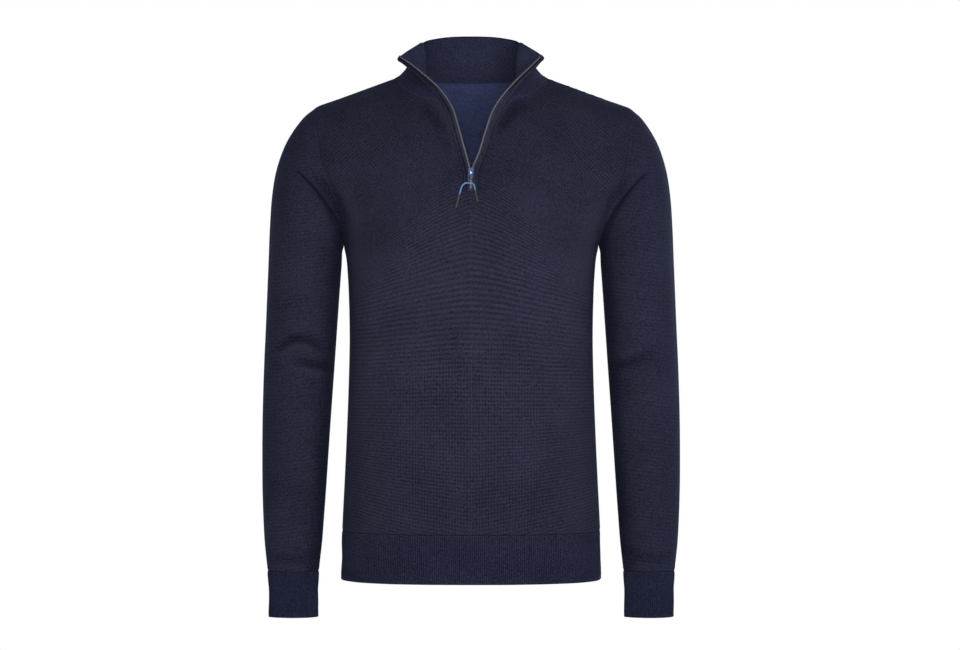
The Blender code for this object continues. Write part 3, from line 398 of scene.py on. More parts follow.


# painted highlights on the edging's fold and on its left crest; painted shade in the left channel and near the
# teeth at the top; a painted shadow at the outer seam
def edgingTone(tree, tone, across, place):
    def band(name):
        rise, fall = edgingShade[name]
        return calc(tree, "MULTIPLY", softStep(tree, across, *rise), softStep(tree, across, *fall))

    left = calc(tree, "LESS_THAN", place[0], 0.0)
    crest = softStep(tree, apart(tree, across, edgingShade["leftCrestMiddle"]), *edgingShade["leftCrest"])
    upper = softStep(tree, place[2], *edgingShade["upperHeights"])
    tone = plus(tree, tone, band("fold"), edgingShade["foldHighlight"])
    tone = plus(tree, tone, softStep(tree, across, *edgingShade["seam"]), edgingShade["seamShadow"])
    tone = plus(tree, tone, product(tree, band("leftChannel"), left), edgingShade["leftChannelShade"])
    tone = plus(tree, tone, product(tree, crest, left), edgingShade["leftCrestHighlight"])
    return plus(tree, tone, product(tree, band("upperDark"), upper), edgingShade["upperShade"])


def stripeTone(tree, tone, coordinates, height, clouds, strength):
    band = uvParts(tree, "pattern")[1]
    wander = calc(tree, "MULTIPLY_ADD", clouds, stripeShade["wander"], band)
    stripe = calc(tree, "SINE", calc(tree, "MULTIPLY", wander, math.tau))
    patchy = softStep(tree, noise(tree, coordinates, *stripeShade["patchNoise"]), *stripeShade["patchRange"])
    patch = plus(tree, 1 - stripeShade["patchTone"], patchy, stripeShade["patchTone"])
    above = softStep(tree, height, *stripeShade["faintHeights"])
    faint = plus(tree, 1.0, above, -stripeShade["faintAbove"])
    return plus(tree, tone, product(tree, stripe, patch, faint), strength)


def columnTone(tree, tone, place, strength):
    column = uvParts(tree, "pattern")[0]
    aside = calc(tree, "ABSOLUTE", place[0])
    low = softStep(tree, place[2], *stripeShade["columnHeights"])
    middle = softStep(tree, aside, *stripeShade["columnReach"])
    uprights = calc(tree, "SINE", calc(tree, "MULTIPLY", column, math.tau))
    tone = plus(tree, tone, uprights, product(tree, low, middle, strength))
    return plus(tree, tone, softStep(tree, aside, *stripeShade["centreReach"]), stripeShade["centreTone"])


def knitMaterial(name):  # loops and ribs on the knit map, stripes on the pattern map
    yarn = yarns[name]
    material, tree, shader = newMaterial(name)
    across, down = uvParts(tree, "knit")
    coordinates = tree.nodes.new("ShaderNodeTexCoord").outputs["Object"]
    place = parts(tree, coordinates)
    stretch = tree.nodes.new("ShaderNodeMapping")
    stretch.inputs["Scale"].default_value = knitFinish["grainScale"]
    tree.links.new(coordinates, stretch.inputs["Vector"])
    grain = calc(tree, "SUBTRACT", noise(tree, stretch.outputs[0], 1.0, knitFinish["grainDetail"]), 0.5)
    clouds = calc(tree, "SUBTRACT", noise(tree, coordinates, *knitFinish["cloudNoise"]), 0.5)
    relief = loopRelief(tree, across, down, yarn["loop"])
    loops = calc(tree, "SUBTRACT", relief, knitFinish["loopMean"])
    tone = plus(tree, knitFinish["tone"], loops, knitFinish["loopTone"])
    tone = plus(tree, tone, grain, yarn["grain"])
    tone = plus(tree, tone, clouds, knitFinish["cloudTone"])
    if yarn["rib"]:
        tone = ribTone(tree, tone, across, down, yarn["rib"])
    if name == "edging":
        tone = edgingTone(tree, tone, across, place)
    if yarn["bands"]:
        tone = stripeTone(tree, tone, coordinates, place[2], clouds, yarn["bands"])
    if yarn["columns"]:
        tone = columnTone(tree, tone, place, yarn["columns"])
    # painted shade along each underarm fold
    if name in ("jersey", "sleeveJersey"):
        tone = calc(tree, "ADD", tone, armpitShade(tree, place))
    # the shade attribute carries the painted shade and painted light of each point
    own = tree.nodes.new("ShaderNodeAttribute")
    own.attribute_name = "shade"
    tone = calc(tree, "ADD", tone, own.outputs["Fac"])
    tree.links.new(mixColour(tree, tone, yarn["dark"], yarn["light"]), shader.inputs["Base Color"])
    shader.inputs["Roughness"].default_value = knitFinish["roughness"]
    shader.inputs["Specular IOR Level"].default_value = knitFinish["specular"]
    shader.inputs["Sheen Weight"].default_value = knitFinish["sheen"]
    shader.inputs["Sheen Roughness"].default_value = knitFinish["sheenRoughness"]
    shader.inputs["Sheen Tint"].default_value = knitFinish["sheenTint"]
    roughen(tree, shader, relief, knitFinish["relief"], knitFinish["reliefStrength"])
    return material


plainFinishes = {  # colour, roughness, metallic, noise scale, how much the noise darkens
    "stitchYarn": ((0.030, 0.034, 0.066), 0.85, 0.0, 1800, 0.5),
    "seamYarn": ((0.006, 0.007, 0.017), 0.9, 0.0, 1800, 0.5),
    "zipTape": ((0.0165, 0.0160, 0.0300), 0.8, 0.0, 2200, 0.4),
    "zipTeeth": ((0.250, 0.235, 0.270), 0.38, 0.0, 900, 0.2),
    "sliderMetal": ((0.22, 0.31, 0.52), 0.26, 1.0, 700, 0.2),
    "cordBraid": ((0.105, 0.215, 0.440), 0.5, 0.0, 2500, 0.35),
    "cordEnd": ((0.040, 0.040, 0.034), 0.4, 0.0, 1200, 0.3),
}
plainRelief = 0.00005
plainDetail = 3


def plainMaterial(name):
    colour, roughness, metallic, scale, darkening = plainFinishes[name]
    material, tree, shader = newMaterial(name)
    grain = noise(tree, tree.nodes.new("ShaderNodeTexCoord").outputs["Object"], scale, plainDetail)
    darker = tuple(value * (1 - darkening) for value in colour)
    tree.links.new(mixColour(tree, grain, (*darker, 1), (*colour, 1)), shader.inputs["Base Color"])
    shader.inputs["Metallic"].default_value = metallic
    shader.inputs["Roughness"].default_value = roughness
    roughen(tree, shader, grain, plainRelief, 1.0)
    return material


def table(columns, *rows):
    values = np.array(rows, float)
    return {name: values[:, i] for i, name in enumerate(columns.split())}


def smooth(along, values, at):
    slope = np.gradient(values, along)
    at = np.clip(at, along[0], along[-1])
    cell = np.clip(np.searchsorted(along, at) - 1, 0, len(along) - 2)
    width = along[cell + 1] - along[cell]
    t = (at - along[cell]) / width
    start = values[cell] * (1 + 2 * t) * (1 - t) ** 2 + slope[cell] * width * t * (1 - t) ** 2
    end = values[cell + 1] * t**2 * (3 - 2 * t) - slope[cell + 1] * width * t**2 * (1 - t)
    return start + end


def read(rows, column, along, at):
    return smooth(rows[along], rows[column], np.asarray(at, float))


def ease(t):
    t = np.clip(t, 0.0, 1.0)
    return t * t * (3 - 2 * t)


def stack(*parts):
    return np.stack(np.broadcast_arrays(*parts), axis=-1).astype(float)


def unit(vectors):
    length = np.linalg.norm(vectors, axis=-1, keepdims=True)
    return vectors / np.maximum(length, 1e-9)


def mirrored(points, sign):
    return points * np.array([sign, 1.0, 1.0])


def runLength(points):  # from the first point to each one
    return np.concatenate([[0], np.cumsum(np.linalg.norm(np.diff(points, axis=0), axis=1))])


def between(at, along, values):
    return np.stack([np.interp(at, along, values[:, i]) for i in range(values.shape[1])], axis=1)


def hump(values, size, middle, reach):
    return size * np.exp(-(((values - middle) / reach) ** 2))


body = {
    "wall": 1.5,
    "underarmHeight": -224.0,
    "hemSeamHeight": -608.0,
    "courseDip": 19.0,
    "courseCurve": 1.5,
    "shoulderSlope": 0.357,
    "shoulderTop": 104.0,
    "armholeDepth": 58.0,
    "roundness": 2.5,
    "swellLean": 0.9,
    "slotRow": 10 / 12,
    "slotFoot": -155.0,
    "settleRow": 0.8,
    "blendRow": 0.3,
    "softLift": 0.85,
    "softLiftPower": 1.2,
    "upperRows": 96,
    "lowerRows": 90,
    "neckColumns": 48,
    "shoulderColumns": 40,
    "halfGirth": 262.0,
    "upperRun": 230.0,
    "lowerRun": 384.0,
    "solidNeckShare": {-1: 6 / 11, 1: 8 / 13},  # how much of the solid's top edge is neck, front and back
    "outlineSteps": 1440,
    "torso": table(
        "height halfWidth front back",
        (-673, 175.6, -118.0, 108.0),
        (-608, 173.8, -116.5, 109.0),
        (-541, 170.5, -113.0, 107.0),
        (-476, 167.5, -110.0, 103.0),
        (-412, 165.1, -108.0, 98.5),
        (-347, 163.8, -108.5, 96.5),
        (-298, 164.7, -111.5, 98.5),
        (-266, 166.2, -114.5, 101.0),
        (-240, 168.6, -116.3, 103.5),
        (-224, 171.8, -116.0, 105.0),
        (-190, 171.8, -110.5, 107.0),
        (-155, 171.8, -101.5, 106.5),
        (-124, 171.8, -93.5, 103.5),
        (-80, 171.8, -82.0, 94.0),
        (-35, 171.8, -68.5, 78.0),
        (0, 171.8, -60.0, 62.0),
    ),
    "armhole": table(
        "down left right",
        (0.00, 207.0, 214.0),
        (0.10, 206.3, 213.3),
        (0.27, 203.5, 210.5),
        (0.44, 197.0, 206.0),
        (0.55, 188.8, 201.0),
        (0.69, 179.5, 191.0),
        (0.83, 174.0, 180.0),
        (1.00, 171.8, 171.8),
    ),
    "rows": table(
        "row corner frontSwell backSwell",
        (0.0, 0.80, 0.0, 0.0),
        (0.3, 0.75, 4.0, 3.0),
        (0.6, 0.64, 10.0, 6.0),
        (0.83, 0.48, 10.0, 6.0),
        (1.0, 0.40, 6.0, 4.0),
        (1.25, 0.40, 1.0, 1.0),
        (2.0, 0.40, 0.0, 0.0),
    ),
}

zipLine = {
    "lineStep": 0.01,
    "footColumns": 6,
    "edgingWidth": 10.8,
    "edgingWall": 2.0,
    "edgingPuff": 0.8,
    "edgingColumns": 16,
    "edgingMap": 8.5,
    "puffPower": 0.6,
    "foldPuff": 0.7,
    "foldRidge": (1.0, 0.16, 0.1),
    "foldTrough": (-0.8, 0.36, 0.08),
    "foldPower": 0.3,
    "bulb": 1.5,
    "bulbAway": 2.4,
    "bulbReach": 2.6,
    "firstTooth": 0.012,
    "toothPitch": 2.7,
    "toothWidth": 2.4,
    "toothAway": 0.6,
    "toothLift": 0.3,
    "toothHeight": 1.3,
    "toothLength": 1.4,
    "toothFaces": (8, 5),
    "toothStart": {"left": 0.25, "right": 0.75},
    "halfColumns": 3,
    "halfWidth": 2.3,
    "halfWall": 1.6,
    "neckShare": {"left": 0.62, "right": 0.655},
    "line": table(
        "share leftX leftZ rightX rightZ depth turn",
        (0.000, 0.0, -155.0, 0.0, -155.0, -102.5, 6),
        (0.120, 0.0, -130.5, 0.0, -130.5, -96.3, 6),
        (0.150, 1.2, -124.8, 1.4, -124.8, -94.9, 6),
        (0.256, 7.4, -101.0, 10.0, -103.5, -90.0, 10),
        (0.407, 15.6, -71.0, 18.9, -73.4, -82.5, 15),
        (0.545, 24.4, -43.0, 28.4, -46.7, -75.0, 20),
        (0.667, 38.9, -20.5, 42.4, -25.6, -72.5, 27),
        (0.798, 60.2, -0.7, 61.2, -5.1, -76.0, 36),
        (0.918, 80.3, 15.3, 80.6, 13.4, -75.0, 48),
        (1.000, 95.0, 25.0, 93.5, 26.3, -72.0, 60),
    ),
}

collar = {
    "wall": 3.0,
    "rows": 48,
    "frontColumns": 48,
    "backColumns": 48,
    "shoulderRound": 0.447,
    "edgeReach": 0.3,
    "mapReach": 200.0,
    "mapHeight": 62.0,
    "shape": table(
        "round footX footY footZ waistX waistY waistZ topX topY topZ",
        (0.000, 45.0, -67.0, -35.0, 67.0, -71.5, -4.0, 92.5, -62.0, 25.5),
        (0.119, 66.0, -54.0, -30.0, 62.0, -49.5, 0.0, 84.5, -45.5, 33.0),
        (0.228, 84.0, -39.0, -20.5, 64.5, -36.0, 11.0, 68.5, -26.0, 44.5),
        (0.363, 99.0, -15.0, -5.5, 80.0, -14.0, 14.0, 70.5, -6.0, 47.0),
        (0.447, 104.0, 3.0, 1.2, 88.0, 2.0, 14.5, 70.5, 8.0, 48.0),
        (0.547, 96.0, 25.0, 2.5, 81.0, 21.0, 22.0, 67.0, 21.0, 50.0),
        (0.672, 74.0, 45.0, 1.5, 67.0, 38.0, 26.0, 60.5, 35.0, 54.0),
        (0.827, 40.0, 57.5, 0.5, 38.0, 47.5, 28.0, 34.0, 43.0, 59.0),
        (1.000, 0.0, 62.0, 0.0, 0.0, 51.0, 28.5, 0.0, 45.0, 60.4),
    ),
}

sleeve = {
    "wall": 1.5,
    "seamRings": 4,
    "steps": 176,
    "girth": 300.0,
    "cuffSeamHeight": -661.5,
    "places": (0, 0.8, 1.6, 2.4, 3.2, 4.0, 4.9, 5.9, 6.9, 7.6, 8.0, 8.35, 8.7, 9.05, 9.5)
    + (10.3, 11.4, 12.6, 13.8, 14.9, 15.6, 16.3, 17),
    "rings": table(
        "ring innerX innerZ outerX outerZ depth middleY",
        (0, 171.8, -224, 210.5, -39, 58, 0),
        (1, 174.2, -233, 230.0, -55.5, 61, 0),
        (2, 174.5, -242, 250.0, -86, 63, 0),
        (3, 174.9, -252, 262.5, -121, 64, 0),
        (4, 175.7, -263, 268.6, -157, 63, -1),
        (5, 176.6, -276, 271.6, -200, 61.5, -2),
        (6, 177.8, -292, 273.4, -247, 60, -3),
        (7, 179.2, -314, 275.4, -297, 58, -4),
        (8, 181.3, -345, 277.2, -343, 55.5, -6),
        (9, 183.6, -380, 278.8, -380, 53, -8),
        (10, 186.3, -420, 280.0, -420, 50.5, -11),
        (11, 189.0, -460, 280.8, -460, 47.5, -13.5),
        (12, 191.6, -500, 281.0, -500, 44, -16),
        (13, 194.5, -545, 280.7, -545, 40.5, -18),
        (14, 197.3, -585, 279.5, -585, 37, -20),
        (15, 199.9, -620, 277.7, -620, 33.5, -21),
        (16, 202.6, -645, 275.2, -645, 29.5, -22),
        (17, 204.6, -661.5, 273.2, -661.5, 25, -22),
    ),
}


# lines on the garment, for a side with +X outwards
def armhole(turn, side, face):  # from the shoulder tip (0) to the underarm (1)
    angle = math.pi * np.asarray(turn, float)
    down = (1 - np.cos(angle)) / 2
    reach = read(body["armhole"], side, "down", down)
    tipHeight = -body["shoulderSlope"] * (body["armhole"][side][0] - body["shoulderTop"])
    height = tipHeight + (body["underarmHeight"] - tipHeight) * down
    return stack(reach, face * body["armholeDepth"] * np.sin(angle), height)


def toothLine(share, side):  # the teeth, and the direction across the edging towards the cloth
    step = zipLine["lineStep"]
    share = np.asarray(share, float)
    line = zipLine["line"]

    def frontView(at):
        return stack(np.maximum(read(line, side + "X", "share", at), 0.0), read(line, side + "Z", "share", at))

    before = frontView(np.maximum(share - step, 0))
    after = frontView(np.minimum(share + step, 1))
    run = unit(after - before)
    flat = frontView(share)
    turn = np.radians(read(line, "turn", "share", share))
    across = stack(run[..., 1] * np.cos(turn), np.sin(turn), -run[..., 0] * np.cos(turn))
    return stack(flat[..., 0], read(line, "depth", "share", share), flat[..., 1]), across


def edgingLine(share, side, across):
    teeth, outwards = toothLine(share, side)
    return teeth + outwards * zipLine["edgingWidth"] * across


def collarPoint(roundShare, height, side):  # foot (0) to top (1), front edge (0) to centre back (1)
    roundShare, height = np.broadcast_arrays(np.asarray(roundShare, float), np.asarray(height, float))
    weights = {
        "foot": 2 * (height - 0.5) * (height - 1),
        "waist": 4 * height * (1 - height),
        "top": 2 * height * (height - 0.5),
    }
    shape = collar["shape"]
    along = np.append(shape["round"], 2 - shape["round"][-2])
    point = np.zeros(roundShare.shape + (3,))
    corner = 0.0
    for level, weight in weights.items():
        first = []
        for axis, (letter, sign) in enumerate((("X", -1), ("Y", 1), ("Z", 1))):
            column = shape[level + letter]
            values = np.append(column, sign * column[-2])
            point[..., axis] += weight * smooth(along, values, roundShare)
            first.append(column[0])
        corner = corner + weight[..., None] * np.array(first)
    neck = zipLine["neckShare"][side]
    edge = edgingLine(neck + (1 - neck) * height, side, 1.0)
    fade = np.clip(1 - roundShare / collar["edgeReach"], 0, 1) ** 2
    return point + (edge - corner) * fade[..., None]


def topEdge(side, face):
    columns, neckColumns = body["neckColumns"] + body["shoulderColumns"], body["neckColumns"]
    index = np.arange(columns + 1)
    neck = np.minimum(index / neckColumns, 1.0)
    shoulderRound = collar["shoulderRound"]
    roundShare = shoulderRound * neck if face < 0 else 1 - (1 - shoulderRound) * neck
    shoulder = np.maximum(index - neckColumns, 0) / body["shoulderColumns"]
    line = collarPoint(roundShare, 0.0, side)
    return line + (armhole(0.0, side, face) - line) * shoulder[:, None]


def innerEnd(row, side, face):
    slotRow = body["slotRow"]
    if face < 0 and row <= slotRow:
        return edgingLine(zipLine["neckShare"][side] * (1 - row / slotRow), side, 1.0)
    startRow, startHeight = (slotRow, body["slotFoot"]) if face < 0 else (0.0, 0.0)
    levelHeight = body["underarmHeight"] + body["courseDip"]
    if row <= 1:
        height = startHeight + (levelHeight - startHeight) * (row - startRow) / (1 - startRow)
    else:
        height = levelHeight + (body["hemSeamHeight"] - levelHeight) * (row - 1)
    reach = edgingLine(0.0, side, 1.0)[0] if face < 0 else 0.0
    return stack(reach, read(body["torso"], "front" if face < 0 else "back", "height", height), height)


def outerEnd(row, side, face):
    if row <= 1:
        return armhole(row, side, face)
    height = body["underarmHeight"] + (body["hemSeamHeight"] - body["underarmHeight"]) * (row - 1)
    return stack(read(body["torso"], "halfWidth", "height", height), 0.0, height)


def baseRow(row, spread, side, face):
    start, end = innerEnd(row, side, face), outerEnd(row, side, face)
    power = body["roundness"]
    reach = start[0] + (end[0] - start[0]) * spread
    corner = read(body["rows"], "corner", "row", row)
    startFall = 1 - (start[0] / end[0]) ** power
    fall = np.clip(1 - (reach / end[0]) ** power, 0, None) / startFall
    depth = end[1] + (start[1] - end[1]) * fall**corner
    swell = read(body["rows"], "frontSwell" if face < 0 else "backSwell", "row", row)
    depth += face * swell * np.sin(math.pi * spread ** body["swellLean"])
    height = start[2] + (end[2] - start[2]) * spread ** body["courseCurve"]
    return stack(reach, depth, height)


def evenSpread(row, columns, side, face):
    start, end = innerEnd(row, side, face), outerEnd(row, side, face)
    power = body["roundness"] / 2
    first = math.asin((start[0] / end[0]) ** power)
    angle = first + (math.pi / 2 - first) * np.linspace(0, 1, columns + 1)
    reach = end[0] * np.sin(angle) ** (1 / power)
    return np.clip((reach - start[0]) / (end[0] - start[0]), 0, 1)


def panelHalf(side, face):  # rows from the shoulder seam to the rib, and their place in the knit
    neckColumns = body["neckColumns"]
    columns = neckColumns + body["shoulderColumns"]
    top = topEdge(side, face)
    topSpread = (top[:, 0] - top[0, 0]) / (top[-1, 0] - top[0, 0])
    lift = top - baseRow(0.0, topSpread, side, face)
    share = np.linspace(0, 1, columns + 1)
    neckShare = body["solidNeckShare"][face]
    solidShare = np.interp(share, [0, neckColumns / columns, 1], [0, neckShare, 1])
    bulge = np.sin(math.pi * solidShare ** (math.log(0.5) / math.log(neckShare))) ** body["softLiftPower"]
    softLift = lift[neckColumns] * bulge[:, None] * body["softLift"]
    upper = np.arange(body["upperRows"] + 1) / body["upperRows"]
    lower = 1 + np.arange(1, body["lowerRows"] + 1) / body["lowerRows"]
    rows, down = [], []
    for row in np.concatenate([upper, lower]):
        settle = min(row / body["settleRow"], 1.0)
        spread = topSpread + (evenSpread(row, columns, side, face) - topSpread) * ease(settle)
        softness = ease(row / body["blendRow"])
        shape = lift * (1 - softness) + softLift * softness
        quarter = settle * math.pi / 2
        shape = shape * np.array([0, 1 - math.sin(quarter), math.cos(quarter)])
        rows.append(baseRow(row, spread, side, face) + shape)
        down.append(body["upperRun"] * min(row, 1.0) + body["lowerRun"] * max(row - 1, 0.0))
    return np.array(rows), stack(share[None, :] * body["halfGirth"], np.array(down)[:, None])


# the stripes of the knit, as a map worked out from each point's place
stripes = {
    "droopReach": 150.0,
    "droopPower": 1.2,
    "columnPitch": 4.0,
    "sleevePitch": 5.0,
    "sleeveLean": 0.12,
    "sleeveMiddle": 220.0,
    "samples": 800,
    "passes": 8,
    "body": table(
        "height pitch droop",
        (-720, 5.1, -40),
        (-608, 5.1, -30),
        (-560, 5.1, -22),
        (-450, 5.1, 0),
        (-400, 5.6, 5),
        (-330, 7.2, 16),
        (-260, 8.0, 38),
        (-200, 6.2, 70),
        (-150, 5.2, 94),
        (-100, 4.6, 120),
        (-40, 4.6, 130),
        (60, 4.6, 112),
        (260, 4.6, 108),
    ),
}


def bodyPattern(points):
    rows = stripes["body"]
    fine = np.linspace(rows["height"][0], rows["height"][-1], stripes["samples"])
    pitch = smooth(rows["height"], rows["pitch"], fine[1:])
    phase = np.concatenate([[0], np.cumsum(np.diff(fine) / pitch)])
    reach = (np.abs(points[:, 0]) / stripes["droopReach"]) ** stripes["droopPower"]
    centre = points[:, 2].copy()
    for _ in range(stripes["passes"]):
        centre = points[:, 2] + smooth(rows["height"], rows["droop"], centre) * reach
    return stack(points[:, 0] / stripes["columnPitch"], np.interp(centre, fine, phase))


def sleevePattern(points):
    leaning = points[:, 2] + stripes["sleeveLean"] * (np.abs(points[:, 0]) - stripes["sleeveMiddle"])
    return stack(points[:, 0] / stripes["columnPitch"], leaning / stripes["sleevePitch"])


weldDigits = 4  # corners that agree to this many digits of a millimetre are one
sewnDigits = 3


def newSheet(name, wall, rounding=0):  # the outside of a cloth piece, before it gets its wall
    return {
        "name": name,
        "wall": wall,
        "rounding": rounding,
        "points": np.zeros((0, 3)),
        "faces": np.zeros((0, 4), int),
        "place": np.zeros((0, 4, 2)),
        "grids": [],
    }


def addGrid(sheet, grid, place, flip=False):
    rows, columns = grid.shape[:2]
    index = len(sheet["points"]) + np.arange(rows * columns).reshape(rows, columns)

    def corners(values):
        four = (values[:-1, :-1], values[1:, :-1], values[1:, 1:], values[:-1, 1:])
        return np.stack(four[::-1] if flip else four, axis=2)

    sheet["grids"].append(index)
    sheet["points"] = np.concatenate([sheet["points"], grid.reshape(-1, 3)])
    sheet["faces"] = np.concatenate([sheet["faces"], corners(index).reshape(-1, 4)])
    sheet["place"] = np.concatenate([sheet["place"], corners(place).reshape(-1, 4, 2)])


def weld(sheet):
    keys = np.round(sheet["points"], weldDigits)
    _, first, index = np.unique(keys, axis=0, return_index=True, return_inverse=True)
    sheet["points"] = sheet["points"][first]
    index = index.reshape(-1)
    sheet["faces"] = index[sheet["faces"]]
    sheet["grids"] = [index[grid] for grid in sheet["grids"]]


def ownNormals(sheet):
    corner = sheet["points"][sheet["faces"]]
    area = np.cross(corner[:, 2] - corner[:, 0], corner[:, 3] - corner[:, 1])
    total = np.zeros_like(sheet["points"])
    for i in range(4):
        np.add.at(total, sheet["faces"][:, i], area)
    return unit(total)


def shareNormals(sheets):  # sewn pieces have one normal along their seam, so that their walls mitre
    points = np.concatenate([sheet["points"] for sheet in sheets])
    normals = np.concatenate([ownNormals(sheet) for sheet in sheets])
    _, index = np.unique(np.round(points, sewnDigits), axis=0, return_inverse=True)
    index = index.reshape(-1)
    total = np.zeros((index.max() + 1, 3))
    np.add.at(total, index, normals)
    count = np.bincount(index)
    start = 0
    for sheet in sheets:
        end = start + len(sheet["points"])
        normals = total[index[start:end]]
        height = sheet["points"][:, 2]
        level = np.isclose(height, body["hemSeamHeight"]) | np.isclose(height, sleeve["cuffSeamHeight"])
        normals[level, 2] = 0
        sheet["normals"] = unit(normals)
        sheet["sewn"] = level | (count[index[start:end]] > 1)
        start = end


def borderEdges(faces):
    edges = np.concatenate([np.stack([faces[:, i], faces[:, (i + 1) % 4]], axis=1) for i in range(4)])
    edges = edges[edges[:, 0] != edges[:, 1]]
    size = faces.max() + 1
    forward, back = edges[:, 0] * size + edges[:, 1], edges[:, 1] * size + edges[:, 0]
    return edges[~np.isin(forward, back)]


folds = {
    "samples": 40,
    "first": 0.12,
    "last": 0.92,
    "bluntness": 0.8,
    "ridgeAway": 1.7,
    "facing": 1.6,
    "reach": 3,
    # troughs along a bent line, with a ridge on the side that the lip points to
    "creases": table(
        "side face x1 z1 x2 z2 x3 z3 depth width lip",
        # under the front and back of each armhole, from the underarm up across the sleeve
        (-1, -1, 168, -224, 182, -170, 212, -134, 5.0, 11, 2.4),
        (-1, -1, 172, -222, 191, -173, 231, -128, 2.6, 3.5, 1.2),
        (1, -1, 172, -224, 188, -172, 216, -140, 2.4, 11, 1.6),
        (1, -1, 176, -222, 196, -172, 236, -131, 2.6, 3.5, 1.2),
        (-1, 1, 172, -222, 190, -176, 226, -134, 8.5, 12, 3.4),
        (1, 1, 172, -222, 186, -180, 224, -140, 9.0, 13, 3.2),
        # beside the open zip, down from the collar's foot
        (-1, -1, 64, -38, 49, -56, 31, -92, 3.6, 7, -3.2),
        (1, -1, 70, -34, 52, -50, 32, -80, 5.0, 7, -3.6),
        # over the elbows
        (-1, -1, 256, -361, 229, -349, 198, -362, 6.5, 5.5, 3.4),
        (-1, -1, 236, -378, 212, -383, 188, -388, 4.5, 6, 2.6),
        (1, -1, 190, -384, 216, -378, 242, -366, 3.6, 7, 2.0),
        (-1, 1, 268, -372, 235, -364, 200, -378, 5.0, 10, 2.0),
        (1, 1, 270, -360, 238, -370, 204, -362, 5.0, 10, 2.2),
        # above the cuffs
        (-1, -1, 268, -636, 240, -644, 212, -636, 2.6, 8, 1.2),
        (1, -1, 210, -632, 236, -643, 266, -638, 2.6, 8, 1.2),
        (-1, 1, 264, -641, 240, -634, 210, -644, 2.6, 8, 1.2),
        (1, 1, 266, -634, 240, -643, 214, -638, 2.6, 8, 1.2),
        # slack across the body
        (-1, -1, 160, -262, 132, -246, 92, -252, -1.4, 16, 0.0),
        (1, -1, 158, -268, 128, -256, 96, -262, -1.0, 16, 0.0),
        (-1, 1, 162, -250, 118, -264, 66, -266, 4.0, 16, 2.0),
        (1, 1, 164, -262, 122, -276, 56, -270, 3.6, 17, 1.6),
        (1, 1, 124, -412, 66, -434, 8, -430, 2.2, 18, 1.4),
        (-1, 1, 140, -462, 88, -446, 34, -458, 2.0, 18, 1.4),
    ),
}


def foldShift(points, normals):
    shift = np.zeros(len(points))
    creases = folds["creases"]
    t = np.linspace(0, 1, folds["samples"])[:, None]
    for fold in zip(*creases.values()):
        side, face, x1, z1, x2, z2, x3, z3, depth, width, lip = fold
        line = np.array((x1, z1)) * 2 * (t - 0.5) * (t - 1)
        line = line + np.array((x2, z2)) * 4 * t * (1 - t) + np.array((x3, z3)) * 2 * t * (t - 0.5)
        flat = points[:, [0, 2]] * np.array([side, 1.0])
        near = np.abs(flat - line.mean(axis=0)) < np.ptp(line, axis=0) + folds["reach"] * width
        near = near.all(axis=1) & (normals[:, 1] * face > 0)
        index = np.flatnonzero(near)
        away = flat[index][:, None, :] - line[None, :, :]
        gaps = np.linalg.norm(away, axis=2)
        nearest = gaps.argmin(axis=1)
        gap = gaps[np.arange(len(index)), nearest]
        run = np.gradient(line, axis=0)[nearest]
        offset = away[np.arange(len(index)), nearest]
        turned = np.sign(run[:, 0] * offset[:, 1] - run[:, 1] * offset[:, 0])
        part = folds["first"] + (folds["last"] - folds["first"]) * t[nearest, 0]
        taper = np.sin(math.pi * part) ** folds["bluntness"]
        ridge = hump(gap / width, abs(lip), folds["ridgeAway"], 1) * (turned * np.sign(lip) > 0)
        facing = ease(normals[index, 1] * face * folds["facing"])
        shift[index] += (hump(gap, -depth, 0, width) + ridge) * taper * facing
    return shift


seams = {
    "gap": 0.12,
    "grooveDepth": 0.3,
    "grooveWidth": 1.6,
    "ridge": 0.25,
    "ridgeAway": 4.2,
    "longestMitre": 2.2,
    "sharpestCorner": 0.4,
}


def seamShift(sheets):  # the cloth dips to a groove at its sewn edges
    lines = []
    for sheet in sheets:
        border = np.unique(borderEdges(sheet["faces"]))
        lines.append(sheet["points"][border[sheet["sewn"][border]]])
    lines = np.concatenate(lines)
    tree = KDTree(len(lines))
    for i, point in enumerate(lines):
        tree.insert(point, i)
    tree.balance()
    for sheet in sheets:
        gap = np.array([tree.find(point)[2] for point in sheet["points"]])
        dip = hump(gap, -seams["grooveDepth"], 0, seams["grooveWidth"])
        sheet["shift"] = dip + hump(gap, seams["ridge"], seams["ridgeAway"], seams["grooveWidth"])


# tones painted per point: fold is painted shade per mm of fold depth, darker in the troughs and lighter on the
# ridges; side is painted shade on the facing sides; the flanks get painted light and the upper chest painted shade
shading = {
    "fold": 0.055,
    "side": 0.34,
    "sideReach": {"Body": 6.0, "sleeve": 13.0},
    "flankPaintedLight": (0.07, 30.0, 18.0),
    "chestPaintedShade": (-0.045, -115.0, 50.0),
    "fade": 30,
}


def sideShade(sheet):  # painted shade on the sides that face each other, between the body and the sleeves; painted light on the body's flanks and painted shade on the upper chest
    reach, height = np.abs(sheet["points"][:, 0]), sheet["points"][:, 2]
    under, fade = body["underarmHeight"] - height, shading["fade"]
    more = 0.0
    if sheet["name"].endswith("Body"):
        gap = read(body["torso"], "halfWidth", "height", height) - reach
        width = shading["sideReach"]["Body"]
        more = hump(gap, *shading["flankPaintedLight"]) * ease(under / fade)
        more = more + hump(height, *shading["chestPaintedShade"]) * (sheet["name"] == "frontBody")
    elif sheet["name"].startswith("sleeve"):
        rings = sleeve["rings"]
        gap = reach - np.interp(-height, -rings["innerZ"], rings["innerX"])
        width = shading["sideReach"]["sleeve"]
    else:
        return 0.0
    return more - hump(gap, shading["side"], 0, width) * ease((under + fade) / fade)


